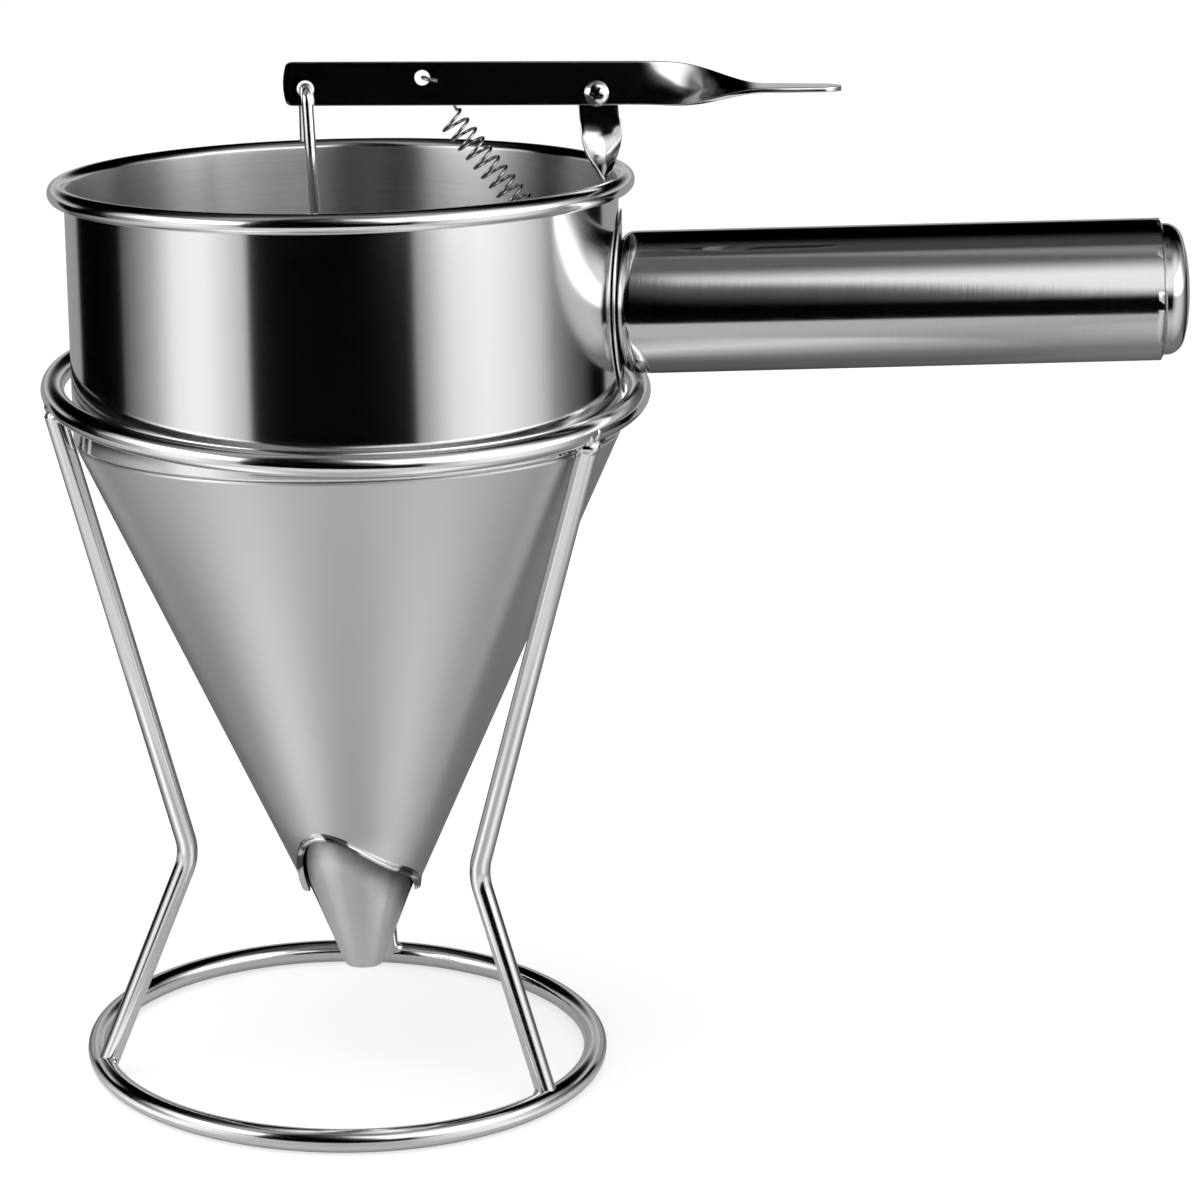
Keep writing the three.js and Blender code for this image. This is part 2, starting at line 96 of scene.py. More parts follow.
# Weld beads, each with its degrees from the leg, its height on the top ring and its size
TOP_BEADS = ((-1.15, -0.9, 1.75), (1.0, -0.3, 1.9))
TOP_BEAD_OUT = 1.1
COLLAR_BEAD = (2.75, 2.75, 2.4)
COLLAR_BEAD_IN = 0.3
COLLAR_BEAD_DROP = 3.2
BASE_BEADS = ((1.8, 1.8), (-2.0, 1.7))
BASE_BEAD_IN = 1.2
BASE_BEAD_RISE = 1.7
BEAD_UNEVENNESS = 0.7

SEAM_HEIGHT = OUTLET_HEIGHT + 28
SEAM_WAVE = 9
SEAM_TURN = math.radians(-105)
SEAM_RIPPLE = 2.1
SEAM_RIPPLE_TURN = math.radians(-121)
LIP_HANG = 1.5
LIP_HANG_TURN = math.radians(-127)
NOZZLE_TOP = OUTLET_HEIGHT + 41.5
NOZZLE_BREAK = OUTLET_HEIGHT + 18.5
NOZZLE_BEND = 3.0
LAP_SHEET = 0.5
LAP_GAP = 0.36
LIP_BEAD = 0.68
LIP_RISE = 0.1
LIP_FLARE = 1.5

HANDLE_HEIGHT = 19.4
FLANGE_HALF_HEIGHT = 22.2
FLANGE_HALF_WIDTH = 16.6
FLANGE_START = BOWL_RADIUS + GAP
FLANGE_SHEET = 0.5
TUBE_END = 195.4
TUBE_START_RADIUS = 17.1
TUBE_END_RADIUS = 17.05
TUBE_MOUTH_INSET = 2.4
TUBE_MOUTH_REACH = 3.4
TUBE_END_RUN = 2.4
TUBE_END_EDGE = 0.9
CAP_RADIUS = 15.75
CAP_END = 202.1
CAP_SKIRT = 8
CAP_CORNER = 4.2
CAP_CORNER_START = 5.7
CAP_DOME = 1.33
CAP_FACE_RADIUS = 12.2
CAP_SHY = 0.06

PIVOT = Vector((61.3, 0, 69.8))
STRAP_SHEET = 1.2
STRAP_EDGE = 0.28
LEVER_FALL = 0.84
LEVER_WIDTH = 10.4
LEVER_LIFT = 2.3
LEVER_BACK = 74.3
LEVER_FRONT = 57.9
TWIST_START = 10
TWIST_END = 40
PAD_DROP = 1.3
PAD_END_WIDTH = 7.8
PAD_ROUND = 4
PAD_ROUND_SHARE = 0.8
BACK_ROUND = 1.6
BACK_ROUND_SHARE = 0.12
BACK_BULGE = 0.7
BACK_BULGE_REACH = 6
LEVER_Y = -2.6
HEAD_Y = -3.5
WASHER_Y = -1.3
NUT_Y = 0.9
PIVOT_HOLE = 1.85
HEAD_RADIUS = 2.9
HEAD_RIM = 0.7
HEAD_DOME = 1.3
BOLT_RADIUS = 1.5
BOLT_CHAMFER = 0.4
BOLT_SPARE = 1
CROSS_SLOT = (3.4, 0.75, 2.4)
CROSS_PLACE = -2.1
CROSS_TURNS = (25, 115)
WASHER_RADIUS = 3.4
WASHER_SHEET = 0.8
WASHER_EDGE = 0.15
NUT_ACROSS = 5.5
NUT_HEIGHT = 2.4
NUT_CHAMFER = 0.25
NUT_CHAMFER_SHARE = 0.93
HOOK_PLACE = (-69, 1.1)
HOOK_HOLE = 2.05
SPRING_PLACE = (-41.3, 3.7)
SPRING_HOLE = 1.85

STRAP_WIDTH = 9.7
POST_TOP = 5.6
POST_TWIST_TOP = 6.5
POST_TWIST_BOTTOM = 23.8
POST_TAIL = 43.4
POST_END = 3
POST_END_SHARE = 0.45
POST_WALL_X = BOWL_RADIUS - SHEET - 0.7 - STRAP_SHEET / 2
TAB_REACH = 5.6
TAB_FALL = 8.6
TAB_HOLE = 1.2
TAB_HOLE_PLACE = 3.3

ROD_RADIUS = 1.4
HOOK_BEND = 2.7
HOOK_TAIL = 10
HOOK_OFFSET = 0.5
ROD_END = OUTLET_HEIGHT + 6.5
PLUG_NOSE = OUTLET_HEIGHT + 0.9
PLUG_SEAT = OUTLET_HEIGHT + 2.3
PLUG_TOP = OUTLET_HEIGHT + 11
PLUG_NOSE_RADIUS = 2.6
PLUG_BORE = 1.95
PLUG_BORE_DEPTH = 6
PLUG_PLAY = 0.55

SPRING_WIRE = 0.38
SPRING_RADIUS = 3.1
SPRING_PITCH = 2.85
COIL_ASIDE = 5.4
COIL_DROP = 8.9
COIL_BEHIND = 0.2
SPRING_LEAD = 5
SPRING_RUN = 5
SPRING_TAIL = 3.6
SPRING_HOOK = 2.6

FUNNEL_ASIDE = Vector((0.2, -0.5, 0))
LEAN_BACK = math.radians(-5)
LEAN_ASIDE = math.radians(-1.8)
GRIP_DROP = 0.9
GRIP_RISE = math.radians(-0.46)

STAND = Matrix.Scale(MM, 4) @ Matrix.Translation(ROOT)
FUNNEL = (
    STAND
    @ Matrix.Translation(FUNNEL_ASIDE + Vector((0, 0, TOP_RING_HEIGHT)))
    @ Matrix.Rotation(LEAN_ASIDE, 4, "Y")
    @ Matrix.Rotation(LEAN_BACK, 4, "X")
)
FUNNEL_TURN = Euler((LEAN_BACK, LEAN_ASIDE, 0)).to_matrix().inverted().to_euler()
FLANGE = FUNNEL @ Matrix.Translation((0, 0, HANDLE_HEIGHT))
GRIP = (
    FUNNEL
    @ Matrix.Translation((0, 0, HANDLE_HEIGHT - GRIP_DROP))
    @ Matrix.Rotation(GRIP_RISE, 4, "Y")
)
LEVER = (
    FUNNEL
    @ Matrix.Translation((PIVOT.x, LEVER_Y, PIVOT.z))
    @ Matrix.Rotation(math.radians(LEVER_FALL), 4, "Y")
)
ALONG_X = Matrix.Rotation(math.radians(90), 4, "Y")
ALONG_Y = Matrix.Rotation(math.radians(-90), 4, "X")


# Sizes and colours that a user may change


def length(name, description, default):
    return bpy.props.FloatProperty(name=name, description=description, default=default, unit="LENGTH")


def count(name, description, default):
    return bpy.props.IntProperty(name=name, description=description, default=default)


def tint(name, description, default):
    return bpy.props.FloatVectorProperty(name=name, description=description, subtype="COLOR", default=default)


class StandSettings(bpy.types.PropertyGroup):
    """The wire stand."""

    ring_wire: length("Ring wire radius", "Radius of the two rings' wire", RING_WIRE * MM)
    leg_wire: length("Leg wire radius", "Radius of the legs' wire", LEG_WIRE * MM)
    waist_bend: length("Waist bend", "Radius of each leg's bend at the waist", WAIST_BEND * MM)
    wire_sides: count("Wire sides", "Sides of a wire's round section", 32)


class FunnelSettings(bpy.types.PropertyGroup):
    """The funnel, its handle and its valve."""

    turn_steps: count("Turn steps", "Steps round the bowl and the cone", 192)
    handle_steps: count("Handle steps", "Steps round the handle", 96)
    rod_wire: length("Rod radius", "Radius of the valve rod", ROD_RADIUS * MM)
    spring_wire: length("Spring wire radius", "Radius of the spring's wire", SPRING_WIRE * MM)


class FinishSettings(bpy.types.PropertyGroup):
    """Colours and polish of the finishes."""

    chrome: tint("Plated wire", "Colour of the plated wire", (0.8, 0.8, 0.81))
    mirror: tint("Polished sheet", "Colour of the polished sheet", (0.9, 0.9, 0.9))
    tube: tint("Handle", "Colour of the buffed handle", (0.56, 0.56, 0.56))
    satin: tint("Satin sheet", "Colour of the satin sheet", (0.82, 0.82, 0.815))
    spring: tint("Spring", "Colour of the spring's wire", (0.5, 0.5, 0.5))
    rubber: tint("Plug", "Colour of the valve's plug", (0.03, 0.03, 0.032))


class StageSettings(bpy.types.PropertyGroup):
    """The floor, the lights and what the steel mirrors."""

    floor: tint("Floor", "Colour of the floor", (0.5, 0.5, 0.5))
    floor_reach: length("Floor reach", "Radius of the floor", 6.0)
    sky: bpy.props.FloatProperty(
        name="Sky", description="Strength of the even light from all round", default=0.62
    )
    lamp: bpy.props.FloatProperty(
        name="Lamp power", description="Power of the broad lamp overhead", default=9.0, unit="POWER"
    )
    tent_radius: length("Tent radius", "Radius of the tent that the steel mirrors", 0.7)


# Shader nodes as Python expressions


class Value:
    """A shader socket that takes part in sums, products and powers."""

    def __init__(self, tree, socket):
        self.tree = tree
        self.socket = socket

    def maths(self, operation, *operands):
        return self.tree.node("ShaderNodeMath", {"operation": operation}, dict(enumerate(operands)))

    def __add__(self, other):
        return self.maths("ADD", self, other)

    def __radd__(self, other):
        return self.maths("ADD", other, self)

    def __sub__(self, other):
        return self.maths("SUBTRACT", self, other)

    def __rsub__(self, other):
        return self.maths("SUBTRACT", other, self)

    def __mul__(self, other):
        return self.maths("MULTIPLY", self, other)

    def __rmul__(self, other):
        return self.maths("MULTIPLY", other, self)

    def __truediv__(self, other):
        return self.maths("DIVIDE", self, other)

    def __pow__(self, other):
        return self.maths("POWER", self, other)


class Shading:
    """Builds the nodes of one material or of the world."""

    def __init__(self, tree):
        self.tree = tree
        tree.nodes.clear()

    def node(self, kind, settings=None, inputs=None, output=0):
        made = self.tree.nodes.new(kind)
        for name, setting in (settings or {}).items():
            if name == "stops":
                self.stops(made.color_ramp, setting)
            else:
                setattr(made, name, setting)
        for key, entry in (inputs or {}).items():
            if isinstance(entry, Value):
                self.tree.links.new(entry.socket, made.inputs[key])
            else:
                made.inputs[key].default_value = entry
        return Value(self, made.outputs[output]) if made.outputs else made

    def stops(self, ramp, stops):
        while len(ramp.elements) < len(stops):
            ramp.elements.new(0)
        for element, (place, level) in zip(ramp.elements, stops):
            element.position = place
            element.color = (level, level, level, 1)

    def surface(self, shader, target="ShaderNodeOutputMaterial"):
        self.node(target, None, {"Surface": shader})

    def between(self, value, low, high, start=0.0, end=1.0):
        """A smooth step: start below low, end above high."""
        return self.node(
            "ShaderNodeMapRange",
            {"interpolation_type": "SMOOTHSTEP"},
            {"Value": value, "From Min": low, "From Max": high, "To Min": start, "To Max": end},
        )

    def place(self, location=(0, 0, 0), turn=(0, 0, 0), scale=(1, 1, 1)):
        """The object's own coordinates, moved, turned and scaled by a Mapping node."""
        where = self.node("ShaderNodeTexCoord", output="Object")
        inputs = {"Vector": where, "Location": location, "Rotation": turn, "Scale": scale}
        return self.node("ShaderNodeMapping", {"vector_type": "POINT"}, inputs)

    def noise(self, where, scale, detail=2.0, roughness=0.5, distortion=0.0):
        inputs = {
            "Vector": where,
            "Scale": scale,
            "Detail": detail,
            "Roughness": roughness,
            "Distortion": distortion,
        }
        return self.node("ShaderNodeTexNoise", {}, inputs, "Fac")

    def mix(self, factor, first, second):
        inputs = {"Factor": factor, "A": first, "B": second}
        made = self.tree.nodes.new("ShaderNodeMix")
        made.data_type = "RGBA"
        for name, entry in inputs.items():
            kind = "VALUE" if name == "Factor" else "RGBA"
            socket = next(s for s in made.inputs if s.name == name and s.type == kind)
            if isinstance(entry, Value):
                self.tree.links.new(entry.socket, socket)
            else:
                socket.default_value = entry
        return Value(self, next(s for s in made.outputs if s.type == "RGBA"))

    def bump(self, height, strength, distance):
        return self.node("ShaderNodeBump", {}, {"Height": height, "Strength": strength, "Distance": distance})


# The tent's light as (azimuth, level): 0 degrees is towards the camera, and 90 is on the right
SIDE_LIGHT = [
    (-97, 0),
    (-95.8, 0.1),
    (-93, 0.13),
    (-85, 0.28),
    (-77, 0.47),
    (-67, 0.92),
    (-60, 1),
    (-53, 1),
    (-44, 0.76),
    (-36, 0.53),
    (-34.4, 0.48),
    (-34, 0),
    (30.4, 0),
    (30.8, 0.28),
    (32.7, 0.33),
    (45.3, 0.83),
    (58.6, 0.98),
    (65, 0.95),
    (72.9, 0.86),
    (83, 0.68),
    (88.5, 0.52),
    (94.2, 0.29),
    (100, 0.2),
    (106.6, 0.12),
    (116, 0.05),
    (122, 0),
]
# The floor's light by azimuth, within some 20 centimetres of the funnel's axis and farther out
NEAR_FLOOR = [
    (-180, 0.1),
    (-143, 0.1),
    (-120, 0.12),
    (-95, 0.18),
    (-70, 0.55),
    (-52, 1.2),
    (-38, 1.1),
    (-20, 0.55),
    (0, 0.44),
    (15, 0.48),
    (32, 0.85),
    (46, 1.05),
    (62, 0.65),
    (85, 0.3),
    (110, 0.18),
    (180, 0.1),
]
FAR_FLOOR = [
    (-180, 0.05),
    (-148, 0.06),
    (-124, 0.18),
    (-105, 0.36),
    (-80, 0.7),
    (-30, 0.74),
    (0, 0.78),
    (30, 0.7),
    (45, 0.56),
    (59, 0.42),
    (80, 0.28),
    (100, 0.3),
    (150, 0.1),
    (180, 0.05),
]
# The elevation of the lower edge of the light above the front, by azimuth
FRONT_TOP_EDGE = [
    (-180, 80),
    (-20, 80),
    (0, 58.4),
    (6.5, 41.96),
    (13, 32.96),
    (17, 20),
    (19.5, 11.6),
    (24, 10.4),
    (180, 10.4),
]
EDGE_LOW = -40
EDGE_SPAN = 120
TENT_EYE = (-0.064, 0, 0.19)
TENT_HOLE = 67
TENT_LIFT = 0.6
TENT_WALL = 500

LAMP_PLACE = (-0.25, -0.15, 1.3)
LAMP_TURN = (math.radians(7), math.radians(-9), 0)
LAMP_SIZE = 0.9
CAMERA_PLACE = (-0.002487, -1.16701, 0.4865)
CAMERA_PITCH = math.radians(17.449)
CAMERA_ROLL = math.radians(0.763)
CAMERA_LENS = 150.5
CAMERA_SENSOR = 36


def shade(colour, level=1.0):
    return (*(c * level for c in colour), 1.0)


def metal(name, colour, build, **fixed):
    """A metal whose varying colour, roughness and bump come from build(shading, colour)."""
    made = bpy.data.materials.get(name)
    if made:
        return made
    made = bpy.data.materials.new(name)
    made.use_nodes = True
    shading = Shading(made.node_tree)
    varied = build(shading, colour)
    inputs = {"Metallic": 1.0, **fixed, **varied}
    shading.surface(shading.node("ShaderNodeBsdfPrincipled", {}, inputs))
    return made


def plated(shading, colour):
    """Bright plating: soft clouds in the polish and a faint drawn ripple."""
    where = shading.place()
    clouds = shading.noise(where, 90, 3)
    ripple = shading.noise(where, 420, 2)
    tone = shading.mix(clouds, shade(colour, 0.94), shade(colour, 1.04))
    normal = shading.bump(ripple + clouds, 0.05, 0.0004)
    return {"Base Color": tone, "Roughness": 0.03 + 0.05 * clouds, "Normal": normal}


def polished(shading, colour):
    """Mirror polish with faint buffing lines round the bowl and a few soft smears."""
    lines = shading.noise(shading.place(turn=FUNNEL_TURN, scale=(6, 6, 1500)), 1, 3)
    smears = shading.noise(shading.place(scale=(1, 1, 1.6)), 38, 4, 0.6)
    tone = shading.mix(smears, shade(colour, 0.97), shade(colour, 1.02))
    polish = 0.012 + 0.02 * lines + 0.03 * shading.between(smears, 0.5, 0.8)
    return {"Base Color": tone, "Roughness": polish, "Normal": shading.bump(lines, 0.02, 0.00008)}


def brushed_inside(shading, colour):
    """The bowl's inner face: brushed round the axis, with brighter and darker bands."""
    fine = shading.noise(shading.place(turn=FUNNEL_TURN, scale=(10, 10, 2600)), 1, 4, 0.65)
    bands = shading.noise(shading.place(turn=FUNNEL_TURN, scale=(4, 4, 220)), 1, 3, 0.6)
    tone = shading.mix(fine * 0.5 + bands * 0.5, shade(colour, 0.5), shade(colour, 0.95))
    rough = 0.28 + 0.06 * bands + 0.05 * fine
    normal = shading.bump(fine * 0.5 + bands, 0.14, 0.0002)
    return {"Base Color": tone, "Roughness": rough, "Normal": normal}


def satin(shading, colour):
    """Fine satin brushed round the cone, with cloudy rubbed patches."""
    fine = shading.noise(shading.place(turn=FUNNEL_TURN, scale=(14, 14, 3600)), 1, 4, 0.6)
    patches = shading.noise(shading.place(scale=(1, 1, 1.4)), 55, 4, 0.62)
    tone = shading.mix(fine * 0.55 + patches * 0.45, shade(colour, 0.84), shade(colour, 1.1))
    rough = 0.14 + 0.05 * fine + 0.07 * patches
    return {"Base Color": tone, "Roughness": rough, "Normal": shading.bump(fine, 0.08, 0.00012)}


def satin_with_painted_shade(shading, colour):
    """The nozzle's satin, with painted shade just below the seam, under the cone's lip."""
    varied = satin(shading, colour)
    below = shading.node("ShaderNodeAttribute", {"attribute_name": "below_seam"}, output="Fac")
    patches = shading.noise(shading.place(), 160, 2)
    # Painted shade under the cone's lip: the colour darkens towards the seam and fades out some 11 mm below
    # it
    unshaded = shading.between(below + 3 * patches, 0.8, 11)
    varied["Base Color"] = shading.mix(unshaded, shade(colour, 0.14), varied["Base Color"])
    return varied


def seam_edge_painted_reflection(shading, colour):
    """The cone's rolled lower edge: bright, with painted dark reflections in patches along it."""
    varied = polished(shading, colour)
    reflection_patches = shading.noise(shading.place(), 130, 1, 0.4)
    painted_dark_reflection = shading.between(reflection_patches, 0.46, 0.54)
    # Painted reflection: dark patches in the edge's colour stand in for the dark surroundings that the curved
    # edge mirrors
    varied["Base Color"] = shading.mix(painted_dark_reflection, shade(colour, 0.1), shade(colour, 0.95))
    return varied


def buffed_tube(shading, colour):
    """The handle: near-mirror, buffed in fine lines round the tube."""
    fine = shading.noise(shading.place(scale=(2600, 12, 12)), 1, 4, 0.62)
    broad = shading.noise(shading.place(scale=(170, 6, 6)), 1, 3, 0.6)
    clouds = shading.noise(shading.place(), 60, 3)
    tone = shading.mix(fine * 0.5 + clouds * 0.5, shade(colour, 0.94), shade(colour, 1.06))
    rough = 0.06 + 0.04 * fine + 0.05 * broad
    normal = shading.bump(fine * 0.4 + broad, 0.06, 0.0002)
    return {"Base Color": tone, "Roughness": rough, "Normal": normal}


def polished_strap(shading, colour):
    """Tumbled and polished strap: soft waves and fine scratches along it."""
    scratches = shading.noise(shading.place(scale=(60, 900, 1400)), 1, 3, 0.6)
    waves = shading.noise(shading.place(), 120, 2)
    tone = shading.mix(waves, shade(colour, 0.93), shade(colour, 1.03))
    rough = 0.05 + 0.05 * scratches + 0.04 * waves
    normal = shading.bump(waves + 0.2 * scratches, 0.06, 0.0004)
    return {"Base Color": tone, "Roughness": rough, "Normal": normal}


def spring_steel(shading, colour):
    """Drawn spring wire: darker than the plated wire, with fine lines along it."""
    lines = shading.noise(shading.place(), 900, 3)
    tone = shading.mix(lines, shade(colour, 0.7), shade(colour, 1.2))
    return {"Base Color": tone, "Roughness": 0.12 + 0.12 * lines, "Normal": shading.bump(lines, 0.1, 0.0001)}


def weld(shading, colour):
    """Weld metal: a little duller than the wire, and uneven."""
    lumps = shading.noise(shading.place(), 700, 4, 0.6)
    tone = shading.mix(lumps, shade(colour, 0.85), shade(colour, 1.1))
    return {"Base Color": tone, "Roughness": 0.05 + 0.12 * lumps, "Normal": shading.bump(lumps, 0.25, 0.0004)}


def rubber(shading, colour):
    """Moulded food-grade rubber with a fine matt grain."""
    grain = shading.noise(shading.place(), 2600, 3, 0.6)
    tone = shading.mix(grain, shade(colour, 0.8), shade(colour, 1.3))
    return {"Base Color": tone, "Roughness": 0.55 + 0.2 * grain, "Normal": shading.bump(grain, 0.2, 0.00005)}


def finish(name):
    """The finish of that name, built on first use."""
    colours = bpy.context.scene.dispenser_finish
    brushed = {"Anisotropic": 0.98, "Anisotropic Rotation": 0.25}
    kinds = {
        "bright_wire": (colours.chrome, plated, {}),
        "polished_sheet": (colours.mirror, polished, {}),
        "brushed_inside": (colours.mirror, brushed_inside, brushed),
        "satin_sheet": (colours.satin, satin, brushed),
        "seam_edge_painted_reflection": (colours.mirror, seam_edge_painted_reflection, {}),
        "nozzle_painted_shade": (colours.satin, satin_with_painted_shade, brushed),
        "buffed_tube": (colours.tube, buffed_tube, {}),
        "polished_strap": (colours.mirror, polished_strap, {}),
        "spring_steel": (colours.spring, spring_steel, {}),
        "weld_metal": (colours.chrome, weld, {}),
        "plug_rubber": (colours.rubber, rubber, {"Metallic": 0.0, "Specular IOR Level": 0.4}),
    }
    colour, build, fixed = kinds[name]
    return metal(name, tuple(colour), build, **fixed)


# Mesh helpers


def linked(name, data):
    """Data as an object of the scene."""
    made = bpy.data.objects.new(name, data)
    bpy.context.collection.objects.link(made)
    return made


def freed(name, shape):
    """A bmesh as a mesh."""
    mesh = bpy.data.meshes.new(name)
    shape.to_mesh(mesh)
    shape.free()
    return mesh


def worn(name, mesh, body, replaced):
    """A mesh as a piece of the object that rides on a body and stands for its CAD nodes."""
    piece = linked(name, mesh)
    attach(piece, body)
    if replaced:
        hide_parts(*replaced)


def dressed(name, mesh, finishes, body, replaced):
    """A piece whose mesh takes its finishes here."""
    for chosen in finishes:
        mesh.materials.append(finish(chosen))
    worn(name, mesh, body, replaced)


def shaded(mesh, crease=34):
    """Smooth shading, with edges sharper than the crease angle kept."""
    mesh.shade_smooth()
    mesh.set_sharp_from_angle(angle=math.radians(crease))
    return mesh


def mesh_from(name, shape, place, crease=34):
    """A bmesh of a closed shape as a mesh in its place, its faces turned outwards."""
    bmesh.ops.remove_doubles(shape, verts=shape.verts, dist=1e-6)
    bmesh.ops.recalc_face_normals(shape, faces=shape.faces)
    mesh = freed(name, shape)
    mesh.transform(place)
    return shaded(mesh, crease)


def arc(centre_r, centre_z, radius, start, end, steps):
    """Points of a circle's arc between two directions in degrees."""
    turns = [math.radians(start + (end - start) * i / steps) for i in range(steps + 1)]
    return [(centre_r + radius * math.cos(t), centre_z + radius * math.sin(t)) for t in turns]


def rounded(points, steps=4):
    """Corners given as (r, z, cut back) are rounded; those given as (r, z) stay sharp."""
    made = []
    for i, point in enumerate(points):
        corner = Vector(point[:2])
        if len(point) < 3:
            made.append(tuple(corner))
            continue
        before = Vector(points[i - 1][:2])
        after = Vector(points[(i + 1) % len(points)][:2])
        start = corner + (before - corner).normalized() * point[2]
        end = corner + (after - corner).normalized() * point[2]
        for k in range(steps + 1):
            t = k / steps
            made.append(tuple(start * (1 - t) ** 2 + corner * 2 * t * (1 - t) + end * t**2))
    return made


def bend_to_wall(vert):
    """Bends what lies round the X axis to the wall's curve, its distance from the wall kept."""
    vert.co.x = math.sqrt(vert.co.x**2 - vert.co.y**2)


def lathe(outline, steps, closed=True):
    """An outline of (radius, height) turned about Z; an open one starts and ends on the axis."""
    shape = bmesh.new()
    turns = [2 * math.pi * i / steps for i in range(steps)]
    rings = []
    for r, z in outline:
        if r < 1e-6:
            rings.append([shape.verts.new((0, 0, z))])
        else:
            rings.append([shape.verts.new((r * math.cos(t), r * math.sin(t), z)) for t in turns])
    following = rings[1:] + (rings[:1] if closed else [])
    for low, high in zip(rings, following):
        for i in range(steps):
            j = (i + 1) % steps
            corners = [low[i % len(low)], low[j % len(low)], high[j % len(high)], high[i % len(high)]]
            face = list(dict.fromkeys(corners))
            if len(face) > 2:
                shape.faces.new(face)
    return shape


def rounded_section(width, thickness, edge, steps=3, flat_steps=10):
    """The outline of a strap's section: (across, through) points of a rectangle with round edges."""
    wide, thick = width / 2 - edge, thickness / 2 - edge
    points = []
    for quarter, (w, t) in enumerate(((wide, thick), (-wide, thick), (-wide, -thick), (wide, -thick))):
        for k in range(steps + 1):
            turn = math.radians(90 * (quarter + k / steps))
            points.append((w + edge * math.cos(turn), t + edge * math.sin(turn)))
        if quarter % 2 == 0:
            for k in range(1, flat_steps):
                points.append((w * (1 - 2 * k / flat_steps), t + edge * math.copysign(1, t)))
    return points


def swept(name, sections):
    """A closed skin over equal sections, with flat ends."""
    shape = bmesh.new()
    rings = [[shape.verts.new(p) for p in section] for section in sections]
    for low, high in zip(rings, rings[1:]):
        joined(shape, low, high)
    shape.faces.new(rings[0][::-1])
    shape.faces.new(rings[-1])
    bmesh.ops.recalc_face_normals(shape, faces=shape.faces)
    return freed(name, shape)


def joined(shape, low, high):
    """Faces between two rings of as many corners."""
    for i in range(len(low)):
        j = (i + 1) % len(low)
        shape.faces.new((low[i], low[j], high[j], high[i]))


def cut_by(piece, shape, place):
    """Cuts a shape out of a piece, by a modifier whose cutter is returned."""
    mesh = freed("cutter", shape)
    mesh.transform(place)
    cutter = linked("cutter", mesh)
    modifier = piece.modifiers.new("cut", "BOOLEAN")
    modifier.operation = "DIFFERENCE"
    modifier.solver = "EXACT"
    modifier.object = cutter
    return cutter


def drilled(mesh, holes, depth=8):
    """Round holes of (place, radius) through a mesh."""
    piece = linked("drilled", mesh)
    cutters = []
    for place, radius in holes:
        drill = bmesh.new()
        bmesh.ops.create_cone(drill, cap_ends=True, segments=40, radius1=radius, radius2=radius, depth=depth)
        cutters.append(cut_by(piece, drill, place))
    return plain(piece, cutters)


def plain(piece, spent=()):
    """The piece's mesh with its modifiers applied; the piece and what it used are removed."""
    graph = bpy.context.evaluated_depsgraph_get()
    evaluated = piece.evaluated_get(graph)
    mesh = bpy.data.meshes.new_from_object(evaluated, preserve_all_data_layers=True, depsgraph=graph)
    for used in (piece, *spent):
        old = used.data
        bpy.data.objects.remove(used)
        if old.users == 0:
            bpy.data.meshes.remove(old)
    return mesh


def weighted(mesh):
    """Normals weighted by face area, so that a flat face between round edges mirrors as a flat one."""
    piece = linked("weighted", mesh)
    modifier = piece.modifiers.new("weighted", "WEIGHTED_NORMAL")
    modifier.keep_sharp = True
    modifier.weight = 100
    return plain(piece)


# Geometry Nodes for wire and welds


def new_tree(name, sockets):
    """A geometry tree with named inputs of (name, socket type, default)."""
    tree = bpy.data.node_groups.new(name, "GeometryNodeTree")
    tree.is_modifier = True
    tree.interface.new_socket("Geometry", in_out="INPUT", socket_type="NodeSocketGeometry")
    for label, kind, default in sockets:
        socket = tree.interface.new_socket(label, in_out="INPUT", socket_type=kind)
        if default is not None:
            socket.default_value = default
    tree.interface.new_socket("Geometry", in_out="OUTPUT", socket_type="NodeSocketGeometry")
    return tree


def node_in(tree, kind, settings=None, links=None):
    """Adds a node; links maps its inputs to a value or to (node, output)."""
    made = tree.nodes.new(kind)
    for name, setting in (settings or {}).items():
        setattr(made, name, setting)
    for key, entry in (links or {}).items():
        if isinstance(entry, tuple) and isinstance(entry[0], bpy.types.Node):
            tree.links.new(entry[0].outputs[entry[1]], made.inputs[key])
        else:
            made.inputs[key].default_value = entry
    return made


def ended(tree, start, geometry):
    """Ends a tree in Realize Instances and Set Material."""
    real = node_in(tree, "GeometryNodeRealizeInstances", None, {"Geometry": geometry})
    material = node_in(
        tree, "GeometryNodeSetMaterial", None, {"Geometry": (real, 0), "Material": (start, "Material")}
    )
    end = tree.nodes.new("NodeGroupOutput")
    tree.links.new(material.outputs[0], end.inputs[0])


